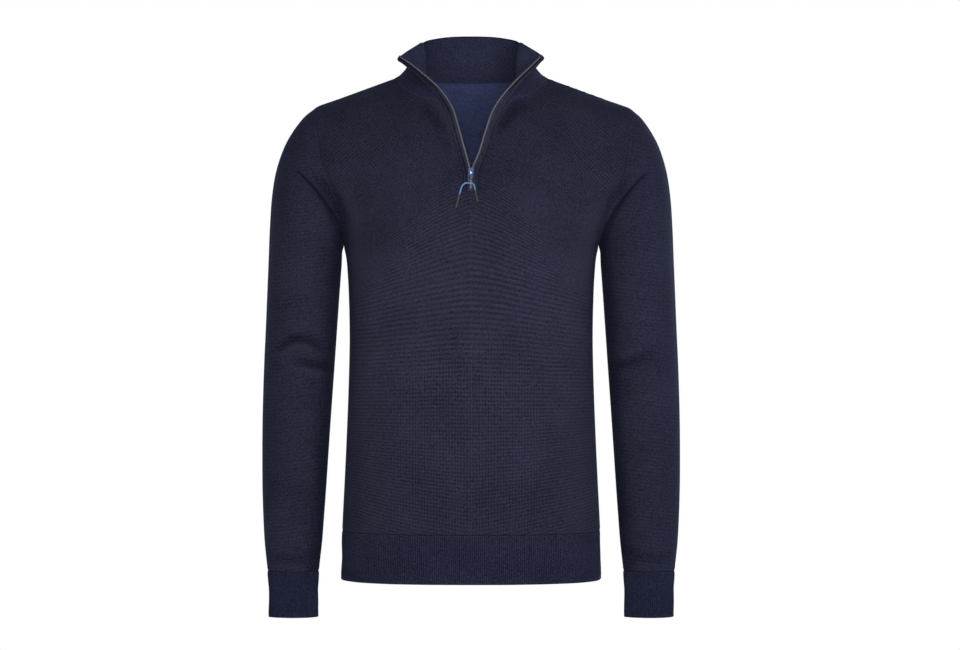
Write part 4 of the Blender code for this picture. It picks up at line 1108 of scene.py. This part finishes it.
def borderMove(points, normals, edges):  # into the cloth at each border point, mitred at corners
    after = dict(edges.tolist())
    before = {b: a for a, b in edges.tolist()}
    move = np.zeros_like(points)
    for point in after:
        inwards = []
        for a, b in ((before[point], point), (point, after[point])):
            run = points[b] - points[a]
            inwards.append(unit(np.cross(normals[point], run - normals[point] * run.dot(normals[point]))))
        move[point] = (inwards[0] + inwards[1]) / max(1 + inwards[0].dot(inwards[1]), seams["sharpestCorner"])
    return move


def walled(sheet):  # outside, inside and the rims between them; a free rim is rounded
    points, normals, sheetFaces = sheet["points"], sheet["normals"], sheet["faces"]
    lean = np.clip((ownNormals(sheet) * normals).sum(axis=1), 1 / seams["longestMitre"], 1)
    edges = borderEdges(sheetFaces)
    border = np.unique(edges[:, 0])
    move = borderMove(points, normals, edges)
    swell = sheet["swell"][:, None] if "swell" in sheet else 0.0
    outside = points + move * seams["gap"] / 2 + normals * swell / 2
    inside = outside - normals * ((sheet["wall"] / lean)[:, None] + swell)
    middle = (outside[border] + inside[border]) / 2
    half = (outside[border] - inside[border]) / 2
    free = (~sheet["sewn"][border])[:, None]
    outward = -unit(move[border]) * np.linalg.norm(half, axis=1, keepdims=True) * free
    count, strips = len(points), max(sheet["rounding"], 1)
    rings, extra = [border], []
    for i in range(1, strips):
        angle = math.pi * i / strips
        extra.append(middle + half * math.cos(angle) + outward * math.sin(angle))
        rings.append(2 * count + (i - 1) * len(border) + np.arange(len(border)))
    rings.append(border + count)
    a, b = np.searchsorted(border, edges).T
    rims = [np.stack([one[b], one[a], two[a], two[b]], axis=1) for one, two in zip(rings[:-1], rings[1:])]
    faces = np.concatenate([sheetFaces, sheetFaces[:, ::-1] + count, *rims])
    pointPlace = np.zeros((count, 2))
    pointPlace[sheetFaces.reshape(-1)] = sheet["place"].reshape(-1, 2)
    rimPlace = np.tile(pointPlace[edges[:, [1, 0, 0, 1]]], (strips, 1, 1))
    place = np.concatenate([sheet["place"], sheet["place"][:, ::-1], rimPlace])
    freeRim = ~sheet["sewn"][edges].all(axis=1)
    slot = np.concatenate([np.repeat([0, 1], len(sheetFaces)), np.tile(2 * freeRim, strips)])
    return np.concatenate([outside, inside, *extra]), faces, place, slot


sharpAngle = 40


def makePiece(name, points, faces, place, slot, materials):
    mesh = bpy.data.meshes.new(name)
    mesh.from_pydata((points * mm).tolist(), [], faces.tolist())
    pattern = (sleevePattern if name.startswith(("sleeve", "cuff")) else bodyPattern)(points)
    for label, corners in (("knit", place), ("pattern", pattern[faces.reshape(-1)])):
        mesh.uv_layers.new(name=label).data.foreach_set("uv", corners.astype(np.float32).reshape(-1))
    for material in materials:
        mesh.materials.append(material)
    mesh.polygons.foreach_set("material_index", slot.astype(np.int32))
    mesh.update()
    mesh.shade_smooth()
    mesh.set_sharp_from_angle(angle=math.radians(sharpAngle))
    return addObject(name, mesh)


def dress(piece, node, bodyName="sweater"):
    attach(piece, bodyName)
    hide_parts(node)


def frontSheet():
    sheet = newSheet("frontBody", body["wall"])
    feet = []
    slotRow = round(body["slotRow"] * body["upperRows"])
    for side, sign in sides.items():
        grid, place = panelHalf(side, -1)
        grid, place = mirrored(grid, sign), place * np.array([sign, 1.0])
        addGrid(sheet, grid, place, flip=sign < 0)
        feet.append((grid[slotRow:, 0], place[slotRow:, 0]))
    (left, leftPlace), (right, rightPlace) = feet
    steps = np.linspace(0, 1, zipLine["footColumns"] + 1)[None, :, None]
    strip = left[:, None] + (right - left)[:, None] * steps
    stripPlace = leftPlace[:, None] + (rightPlace - leftPlace)[:, None] * steps
    stripPlace = stripPlace + stack((steps[..., 0] * 2 - 1) * zipLine["edgingWidth"], 0.0)
    addGrid(sheet, strip, stripPlace)  # below the zip's foot
    weld(sheet)
    return sheet


def backSheet():
    sheet = newSheet("backBody", body["wall"])
    for side, sign in sides.items():
        grid, place = panelHalf(side, 1)
        addGrid(sheet, mirrored(grid, sign), place * np.array([sign, 1.0]), flip=sign > 0)
    weld(sheet)
    return sheet


def sleeveRing(ring, side, turn):
    angle = math.pi * np.abs(turn)
    face = np.where(turn < 0, -1, 1)
    out = (1 + np.cos(angle)) / 2

    def plain(values):
        reach = values["innerX"] + (values["outerX"] - values["innerX"]) * out
        height = values["innerZ"] + (values["outerZ"] - values["innerZ"]) * out
        return stack(reach, values["middleY"] + face * values["depth"] * np.sin(angle), height)

    rings = sleeve["rings"]
    here = plain({name: read(rings, name, "ring", ring) for name in rings if name != "ring"})
    fade = max(0.0, 1 - ring / sleeve["seamRings"]) ** 2
    first = plain({name: rings[name][0] for name in rings})
    front, back = (armhole(np.abs(turn), side, one) for one in (-1, 1))
    return here + (np.where((face < 0)[:, None], front, back) - first) * fade


def sleeveSheet(side, sign):
    sheet = newSheet("sleeve" + side.capitalize(), sleeve["wall"])
    count = body["upperRows"]
    turns = np.arange(-count, count + 1) / count
    steps = np.linspace(0, 1, sleeve["steps"] + 1)
    places = np.interp(steps, np.linspace(0, 1, len(sleeve["places"])), sleeve["places"])
    grid = np.array([sleeveRing(ring, side, turns) for ring in places])
    grid[:, -1] = grid[:, 0]
    run = np.linalg.norm(np.diff(grid, axis=0), axis=2).mean(axis=1)
    down = np.concatenate([[0], np.cumsum(run)])
    place = stack(turns[None, :] * sleeve["girth"] / 2, down[:, None])
    addGrid(sheet, mirrored(grid, sign), place, flip=sign < 0)
    weld(sheet)
    return sheet


def collarSheet():
    sheet = newSheet("rollCollar", collar["wall"], rounding=6)
    shoulderRound = collar["shoulderRound"]
    front = shoulderRound * np.arange(collar["frontColumns"] + 1) / collar["frontColumns"]
    back = 1 - (1 - shoulderRound) * np.arange(collar["backColumns"] + 1)[::-1] / collar["backColumns"]
    around = np.concatenate([front, back[1:]])[None, :]
    heights = (np.arange(collar["rows"] + 1) / collar["rows"])[:, None]
    for side, sign in sides.items():
        place = stack(sign * (1 - around) * collar["mapReach"], (1 - heights) * collar["mapHeight"])
        addGrid(sheet, mirrored(collarPoint(around, heights, side), sign), place, flip=sign > 0)
    weld(sheet)
    return sheet


def edgingShares(side):
    neck = zipLine["neckShare"][side]
    slotRow = round(body["slotRow"] * body["upperRows"])
    lower = neck * np.arange(slotRow + 1) / slotRow
    upper = neck + (1 - neck) * np.arange(1, collar["rows"] + 1) / collar["rows"]
    return np.concatenate([lower, upper])


def zipStrip(sheet, side, sign, columns, across, width, puff):
    shares = edgingShares(side)
    grid = np.stack([edgingLine(shares, side, at) for at in across], axis=1)
    grid[:, :, 1] -= puff
    place = stack(columns[None, :] * width, runLength(grid[:, 0])[:, None])
    addGrid(sheet, mirrored(grid, sign), place, flip=sign > 0)
    weld(sheet)
    return sheet


def edgingSheet(side, sign):
    sheet = newSheet("zipEdging" + side.capitalize(), zipLine["edgingWall"], rounding=6)
    inner = zipLine["halfWidth"] / zipLine["edgingWidth"]
    columns = np.linspace(0, 1, zipLine["edgingColumns"] + 1)
    arch = np.sin(math.pi * columns)
    fold = hump(columns, *zipLine["foldRidge"]) + hump(columns, *zipLine["foldTrough"])
    puff = zipLine["edgingPuff"] * arch ** zipLine["puffPower"] + zipLine["foldPuff"] * fold
    puff = puff * arch ** zipLine["foldPower"]
    return zipStrip(sheet, side, sign, columns, inner + (1 - inner) * columns, zipLine["edgingMap"], puff)


def endBulb(sheet):  # the edging's upper end is rolled over and puffs out
    last = sheet["points"][sheet["grids"][0][-1]]
    gaps = np.linalg.norm(sheet["points"][:, None] - last[None], axis=2).min(axis=1)
    sheet["swell"] = hump(gaps, zipLine["bulb"], zipLine["bulbAway"], zipLine["bulbReach"])


def zipHalfSheet(side, sign):
    sheet = newSheet("zipTape" + side.capitalize(), zipLine["halfWall"], rounding=4)
    inner = zipLine["halfWidth"] / zipLine["edgingWidth"]
    columns = np.linspace(0, 1, zipLine["halfColumns"] + 1)
    return zipStrip(sheet, side, sign, columns, inner * columns, zipLine["halfWidth"], 0.0)


ribs = {
    "wall": 2.2,
    "pitch": 2.5,
    "depth": 0.6,
    "sharpness": 0.7,
    "perRib": 6,
    "hemRows": 22,
    "cuffRows": 22,
    "hemFoot": -673.0,
    "cuffFoot": -723.0,
    "cuff": {"innerX": 205.4, "outerX": 272.0, "depth": 23.0, "middleY": -22.0},
    "rimSteps": 5,
    "plainFoot": 2.4,
    "plainFade": 2.4,
    "plainDepth": 0.25,
    "rimRound": 0.8,
    "seamDip": (0.9, 0, 1.6),
    "bandDip": 0.5,
    "waves": ((0.35, 23, 0.11), (0.25, 61, -0.07)),  # size, turns along the band, lean with height
}


def bodySection(height, face, share):  # evenly spaced points and outward normals, side seam to side seam
    torso = body["torso"]
    angle = math.pi * (np.linspace(0, 1, body["outlineSteps"] + 1) - 0.5)
    halfWidth = read(torso, "halfWidth", "height", height)
    depth = read(torso, "front" if face < 0 else "back", "height", height)
    power = 2 / body["roundness"]
    reach = halfWidth * np.sign(np.sin(angle)) * np.abs(np.sin(angle)) ** power
    fine = stack(reach, depth * np.clip(np.cos(angle), 0, None) ** power, height)
    run = np.gradient(fine, axis=0)
    normals = unit(stack(run[:, 1], -run[:, 0], 0.0)) * (1 if face < 0 else -1)
    length = runLength(fine)
    at = np.asarray(share) * length[-1]
    return between(at, length, fine), unit(between(at, length, normals)), length[-1]


def bandEnds(loop, points, reverse):  # the faces that close the two ends at the side seams
    keys = {tuple(key): i for i, key in enumerate(np.round(points, weldDigits))}
    count = len(loop)
    ends = []
    for column, turned in ((0, reverse), (-1, not reverse)):
        ring = [keys[tuple(np.round(point, weldDigits))] for point in loop[:, column]]
        for i in range(1, count // 2):
            quad = (ring[i - 1], ring[i], ring[count - 1 - i], ring[count - i])
            ends.append(quad if turned else quad[::-1])
    return np.array(ends)


def ribBand(name, level, top, foot, ribCount, rows, closed, reverse, materials):
    columns = ribCount * ribs["perRib"]
    share = np.arange(columns + 1) / columns
    ridge = (0.5 + 0.5 * np.cos(math.tau * share * ribCount)) ** ribs["sharpness"]
    heights = np.linspace(top, foot, rows + 1)
    fromTop = top - heights
    dip = hump(fromTop, *ribs["seamDip"]) + ribs["bandDip"] * (1 - np.cos(fromTop / (top - foot) * math.tau)) / 2
    outer, inner = [], []
    for height, inwards in zip(heights, dip):
        points, normals = level(height, share)
        wavy = sum(size * np.sin(share * turns + height * lean) for size, turns, lean in ribs["waves"])
        plain = ease((height - foot - ribs["plainFoot"]) / ribs["plainFade"])
        groove = ribs["depth"] * ((1 - ridge) * plain + ribs["plainDepth"] * (1 - plain)) + inwards - wavy
        outer.append(points - normals * groove[:, None])
        inner.append(points - normals * (ribs["wall"] + inwards - wavy)[:, None])
    middle, half = (outer[-1] + inner[-1]) / 2, (outer[-1] - inner[-1]) / 2
    down = np.array([0, 0, -ribs["rimRound"]]) * np.linalg.norm(half, axis=1, keepdims=True)
    angles = math.pi * np.arange(1, ribs["rimSteps"]) / ribs["rimSteps"]
    rim = [middle + half * math.cos(angle) + down * math.sin(angle) for angle in angles]
    loop = np.array(outer + rim + inner[::-1] + [outer[0]])
    if closed:
        loop[:, -1] = loop[:, 0]
    downs = np.concatenate([fromTop, fromTop[-1] + np.arange(1, len(rim) + 1), fromTop[::-1], [fromTop[0]]])
    place = stack(share[None, :] * ribCount * ribs["pitch"], downs[:, None])
    sheet = newSheet(name, ribs["wall"])
    addGrid(sheet, loop, place, flip=reverse)
    weld(sheet)
    points, faces, places = sheet["points"], sheet["faces"], sheet["place"]
    slot = np.repeat(np.repeat([0, 1, 0], [rows, len(rim) + 1, rows + 1]), columns)
    if not closed:
        ends = bandEnds(loop[:-1], points, reverse)
        faces = np.concatenate([faces, ends])
        places = np.concatenate([places, np.zeros((len(ends), 4, 2))])
        slot = np.concatenate([slot, np.zeros(len(ends), int)])
    return makePiece(name, points, faces, places, slot, materials)


def hemBand(name, face, materials):
    top = body["hemSeamHeight"] - seams["gap"] / 2
    length = bodySection(top, face, np.zeros(1))[2]
    ends = seams["gap"] / 2 / length

    def level(height, share):
        return bodySection(height, face, ends + share * (1 - 2 * ends))[:2]

    ribCount = round(length / ribs["pitch"])
    return ribBand(name, level, top, ribs["hemFoot"], ribCount, ribs["hemRows"], False, face > 0, materials)


def cuffSection(height, sign, share):
    rings = sleeve["rings"]
    t = (sleeve["cuffSeamHeight"] - height) / (sleeve["cuffSeamHeight"] - ribs["cuffFoot"])
    values = {key: rings[key][-1] + (ribs["cuff"][key] - rings[key][-1]) * t for key in ribs["cuff"]}
    half, depth = (values["outerX"] - values["innerX"]) / 2, values["depth"]
    angle = math.tau * share
    reach = sign * (values["innerX"] + values["outerX"]) / 2 + half * np.cos(angle)
    points = stack(reach, values["middleY"] + depth * np.sin(angle), height)
    return points, unit(stack(np.cos(angle) / half, np.sin(angle) / depth, 0.0))


def cuffBand(name, sign, materials):
    rings = sleeve["rings"]
    top = sleeve["cuffSeamHeight"] - seams["gap"] / 2
    half = (rings["outerX"][-1] - rings["innerX"][-1]) / 2
    girth = math.tau * math.sqrt((half**2 + rings["depth"][-1] ** 2) / 2)

    def level(height, share):
        return cuffSection(height, sign, share)

    ribCount = round(girth / ribs["pitch"])
    return ribBand(name, level, top, ribs["cuffFoot"], ribCount, ribs["cuffRows"], True, False, materials)


# the cord, on the places of the solids
pull = {
    "cordRadius": 1.15,
    "ringMiddle": (-2.59, -103.46, -144.81),
    "cord": (  # from the left free end over the link's ring to the right free end
        (-15.29, -104.95, -159.61),
        (-14.19, -104.05, -156.01),
        (-12.89, -103.13, -151.51),
        (-10.39, -102.32, -147.01),
        (-6.39, -102.98, -144.66),
        (-2.59, -103.46, -144.81),
        (0.51, -103.15, -144.81),
        (3.71, -103.15, -147.01),
        (4.91, -103.55, -150.91),
        (5.51, -103.98, -154.11),
    ),
    "cordSpacing": 0.6,
    "routeSteps": 16,
    "roundness": 4,
}


def smoothRoute(points, spacing):  # evenly spaced places on a smooth line through the points, and its length
    last = len(points) - 1
    fine = []
    for i in range(last):
        a, b, c, d = (points[min(max(i + k, 0), last)] for k in (-1, 0, 1, 2))
        for t in np.arange(pull["routeSteps"]) / pull["routeSteps"]:
            along = (c - a) / 2 * t + (2 * a - 5 * b + 4 * c - d) / 2 * t**2
            fine.append(b + along + (3 * b - a - 3 * c + d) / 2 * t**3)
    fine = np.array(fine + [points[-1]])
    length = runLength(fine)
    at = np.linspace(0, length[-1], round(length[-1] / spacing) + 1)
    return between(at, length, fine), length[-1]


def tubeCurve(name, route, radius, material):
    curve = bpy.data.curves.new(name, "CURVE")
    curve.dimensions = "3D"
    curve.bevel_depth = radius * mm
    curve.bevel_resolution = pull["roundness"]
    curve.use_fill_caps = True
    spline = curve.splines.new("POLY")
    spline.points.add(len(route) - 1)
    for point, place in zip(spline.points, route * mm):
        point.co = (*place, 1)
    spline.use_smooth = True
    curve.materials.append(material)
    return addObject(name, curve)


def makeCord():
    route, length = smoothRoute(np.array(pull["cord"]), pull["cordSpacing"])
    cord = tubeCurve("pullCord", route, pull["cordRadius"], plainMaterial("cordBraid"))
    dress(cord, "pull_cord", "pull")
    print("cord", round(length, 1), "mm")


# teeth and stitches, set on points by geometry nodes
beadSize = ("Length", "Width", "Height")
stitches = {
    "faces": (6, 4),
    "armhole": {"spacing": 4.2, "away": 2.7, "size": (1.6, 0.8, 0.7)},
    "neck": {"spacing": 3.2, "away": 1.5, "size": (2.2, 0.8, 0.7)},
    "rib": {
        "spacing": 3.0,
        "away": 1.8,
        "size": (1.7, 0.9, 0.7),
        "sunk": 0.35,
        "hemSteps": 400,
        "cuffSteps": 200,
    },
    "tack": {
        "spacing": 1.6,
        "size": (1.3, 0.8, 0.8),
        "reach": 4.2,
        "bend": 0.09,
        "below": 2.4,
        "proud": 0.3,
        "steps": 40,
    },
}


def beadTree(name, material, faces):
    tree = bpy.data.node_groups.new(name, "GeometryNodeTree")
    tree.interface.new_socket("Geometry", in_out="INPUT", socket_type="NodeSocketGeometry")
    for label in beadSize:
        tree.interface.new_socket(label, in_out="INPUT", socket_type="NodeSocketFloat")
    tree.interface.new_socket("Geometry", in_out="OUTPUT", socket_type="NodeSocketGeometry")

    def node(kind, **values):
        made = tree.nodes.new(kind)
        for label, value in values.items():
            put(tree, value, made.inputs[label])
        return made

    given = node("NodeGroupInput").outputs
    size = node("ShaderNodeCombineXYZ", X=given["Width"], Y=given["Height"], Z=given["Length"])
    turn = node("GeometryNodeInputNamedAttribute", Name="turn")
    turn.data_type = "FLOAT_VECTOR"
    rotation = node("FunctionNodeEulerToRotation")
    put(tree, turn.outputs["Attribute"], rotation.inputs[0])
    bead = node("GeometryNodeMeshUVSphere", Segments=faces[0], Rings=faces[1], Radius=0.5)
    copies = node("GeometryNodeInstanceOnPoints", Points=given["Geometry"], Instance=bead.outputs["Mesh"])
    put(tree, rotation.outputs[0], copies.inputs["Rotation"])
    put(tree, size.outputs[0], copies.inputs["Scale"])
    real = node("GeometryNodeRealizeInstances", Geometry=copies.outputs["Instances"])
    paint = node("GeometryNodeSetMaterial", Geometry=real.outputs["Geometry"], Material=material)
    node("NodeGroupOutput", Geometry=paint.outputs["Geometry"])
    return tree


def spread(points, normals, spacing, start=0.5):  # even places on a line, with their turns
    length = runLength(points)
    count = max(int(length[-1] / spacing), 1)
    at = (np.arange(count) + start) * length[-1] / count
    run = unit(between(at, length, np.gradient(points, axis=0)))
    across = unit(np.cross(unit(between(at, length, normals)), run))
    turns = [Matrix(axes).transposed().to_euler() for axes in zip(across, np.cross(run, across), run)]
    return between(at, length, points), np.array(turns)


def beads(name, rows, size, tree):
    places, turns = (np.concatenate(part) for part in zip(*rows))
    mesh = bpy.data.meshes.new(name + "Places")
    mesh.from_pydata((places * mm).tolist(), [], [])
    mesh.attributes.new("turn", "FLOAT_VECTOR", "POINT").data.foreach_set("vector", turns.reshape(-1))
    holder = addObject(name + "Places", mesh)
    modifier = holder.modifiers.new(name, "NODES")
    modifier.node_group = tree
    named = {item.name: item.identifier for item in tree.interface.items_tree if item.in_out == "INPUT"}
    for label, value in zip(beadSize, size):
        modifier[named[label]] = value * mm
    ready = holder.evaluated_get(bpy.context.evaluated_depsgraph_get())
    made = bpy.data.meshes.new_from_object(ready)
    made.name = name
    made.shade_smooth()
    bpy.data.objects.remove(holder, do_unlink=True)
    piece = addObject(name, made)
    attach(piece, "sweater")


def lineNear(sheet, number, edge, away, lift=0.1):  # a line that keeps its distance from one edge of a grid
    index = sheet["grids"][number]
    line, up = [], []
    for column in {"top": index.T, "inner": index, "outer": index[:, ::-1]}[edge]:
        points, normals = sheet["points"][column], sheet["normals"][column]
        length = runLength(points)
        line.append(between([away], length, points)[0])
        up.append(between([away], length, normals)[0])
    up = unit(np.array(up))
    return np.array(line) + up * lift, up


def makeTeeth(sheets):
    tree = beadTree("zipTeethTree", plainMaterial("zipTeeth"), zipLine["toothFaces"])
    rows = []
    for side in sides:
        line, up = lineNear(sheets["half_" + side], 0, "inner", zipLine["toothAway"], zipLine["toothLift"])
        first = np.searchsorted(edgingShares(side), zipLine["firstTooth"])
        rows.append(spread(line[first:], up[first:], zipLine["toothPitch"], zipLine["toothStart"][side]))
    size = (zipLine["toothLength"], zipLine["toothWidth"], zipLine["toothHeight"])
    beads("zipTeeth", rows, size, tree)


def makeStitches(sheets):
    tree = beadTree("stitchTree", plainMaterial("stitchYarn"), stitches["faces"])
    kind = stitches["armhole"]
    upperRows = body["upperRows"] + 1
    rows = []
    for number, side in enumerate(sides):
        for panel in ("front", "back"):
            line, up = lineNear(sheets[panel], number, "outer", kind["away"])
            rows.append(spread(line[:upperRows], up[:upperRows], kind["spacing"]))
        rows.append(spread(*lineNear(sheets["sleeve_" + side], 0, "top", kind["away"]), kind["spacing"]))
    beads("armholeStitches", rows, kind["size"], tree)

    kind = stitches["rib"]
    around, about = np.linspace(0, 1, kind["hemSteps"]), np.linspace(0, 1, kind["cuffSteps"])
    lines = [bodySection(body["hemSeamHeight"] - kind["away"], face, around)[:2] for face in (-1, 1)]
    lines += [cuffSection(sleeve["cuffSeamHeight"] - kind["away"], sign, about) for sign in sides.values()]
    rows = [spread(line - up * kind["sunk"], up, kind["spacing"]) for line, up in lines]
    beads("ribStitches", rows, kind["size"], tree)

    kind = stitches["neck"]
    lines = [lineNear(sheets["collar"], number, "top", kind["away"]) for number in (0, 1)]
    beads("neckStitches", [spread(*line, kind["spacing"]) for line in lines], kind["size"], tree)

    kind = stitches["tack"]
    tree = beadTree("seamTree", plainMaterial("seamYarn"), stitches["faces"])
    reach = np.linspace(-kind["reach"], kind["reach"], kind["steps"])
    foot = body["slotFoot"] + kind["bend"] * reach**2 - kind["below"]
    line = stack(reach, read(body["torso"], "front", "height", foot) - kind["proud"], foot)
    rows = [spread(line, np.tile((0.0, -1.0, 0.0), (len(line), 1)), kind["spacing"])]
    beads("zipFootTack", rows, kind["size"], tree)


metalParts = {  # name, body and rounding
    "zip_slider": ("zipSlider", "sweater", 0.22),
    "pull_link": ("pullLink", "pull", 0.12),
}
metal = {"merge": 0.00001, "flat": 2, "steps": 2, "corner": 35, "sharp": 40}  # metres and degrees


def finerPart(node, name, bodyName, material, bevel):  # a merged copy of a small part, its edges rounded
    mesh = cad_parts[node].data.copy()
    mesh.name = name
    work = bmesh.new()
    work.from_mesh(mesh)
    bmesh.ops.remove_doubles(work, verts=work.verts, dist=metal["merge"])
    flat = math.radians(metal["flat"])
    bmesh.ops.dissolve_limit(work, angle_limit=flat, verts=work.verts, edges=work.edges)
    work.to_mesh(mesh)
    work.free()
    mesh.materials.clear()
    mesh.materials.append(material)
    piece = addObject(name, mesh)
    rounding = piece.modifiers.new("rounding", "BEVEL")
    rounding.width = bevel * mm
    rounding.segments = metal["steps"]
    rounding.limit_method = "ANGLE"
    rounding.angle_limit = math.radians(metal["corner"])
    mesh.shade_smooth()
    mesh.set_sharp_from_angle(angle=math.radians(metal["sharp"]))
    dress(piece, node, bodyName)


def makeSheets():
    sheets = {"front": frontSheet(), "back": backSheet(), "collar": collarSheet()}
    for side, sign in sides.items():
        sheets["sleeve_" + side] = sleeveSheet(side, sign)
        sheets["edging_" + side] = edgingSheet(side, sign)
        sheets["half_" + side] = zipHalfSheet(side, sign)
    everySheet = list(sheets.values())
    shareNormals(everySheet)
    seamShift(everySheet)
    for sheet in everySheet:
        fold = foldShift(sheet["points"], sheet["normals"])
        # painted shade in the fold troughs, lighter on the ridges, plus the painted side, flank and chest tones
        sheet["shade"] = fold * shading["fold"] + sideShade(sheet)
        sheet["points"] = sheet["points"] + sheet["normals"] * (fold + sheet["shift"])[:, None]
    shareNormals(everySheet)
    for side in sides:
        endBulb(sheets["edging_" + side])
    return sheets


def makeCloth(sheets):
    finishes = {name: knitMaterial(name) for name in yarns}
    finishes["tape"] = plainMaterial("zipTape")
    # on the knit pieces the rim material is painted shade along the free edges
    dressing = [
        ("front", "front_panel", "jersey", ["jersey", "inside", "rim"]),
        ("back", "back_panel", "jersey", ["jersey", "inside", "rim"]),
        ("collar", "collar", "collar_knit", ["collarKnit", "collarInsidePaintedLight", "rim"]),
    ]
    for side in sides:
        dressing.append(("sleeve_" + side, "sleeve_" + side, "jersey", ["sleeveJersey", "inside", "rim"]))
        dressing.append(("edging_" + side, "zip_edging_" + side, "edging", ["edging"] * 3))
        dressing.append(("half_" + side, "zip_half_" + side, "zip_tape", ["tape"] * 3))
    pieces = {}
    for key, node, slotName, names in dressing:
        sheet = sheets[key]
        piece = makePiece(sheet["name"], *walled(sheet), [finishes[name] for name in names])
        shade = np.zeros(len(piece.data.vertices), np.float32)
        shade[: len(sheet["shade"])] = sheet["shade"]
        piece.data.attributes.new("shade", "FLOAT", "POINT").data.foreach_set("value", shade)
        dress(piece, node)
        pieces[key] = piece
    for name, face, node in (("hemFront", -1, "hem_front"), ("hemBack", 1, "hem_back")):
        pieces[name] = hemBand(name, face, [finishes["rib"], finishes["rim"]])
        dress(pieces[name], node)
    for side, sign in sides.items():
        name = "cuff" + side.capitalize()
        pieces[name] = cuffBand(name, sign, [finishes["cuffRib"], finishes["rim"]])
        dress(pieces[name], "cuff_" + side)


def main():
    makeStudio()
    makeCord()
    print("studio and cord")
    sheets = makeSheets()
    print("cloth shapes")
    makeCloth(sheets)
    print("cloth pieces")
    makeTeeth(sheets)
    makeStitches(sheets)
    print("teeth and stitches")
    material = plainMaterial("sliderMetal")
    for node, (name, bodyName, bevel) in metalParts.items():
        finerPart(node, name, bodyName, material, bevel)
    tip = plainMaterial("cordEnd")
    for side in sides:
        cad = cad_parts["cord_tip_" + side]
        cad.data.materials.clear()
        cad.data.materials.append(tip)


main()
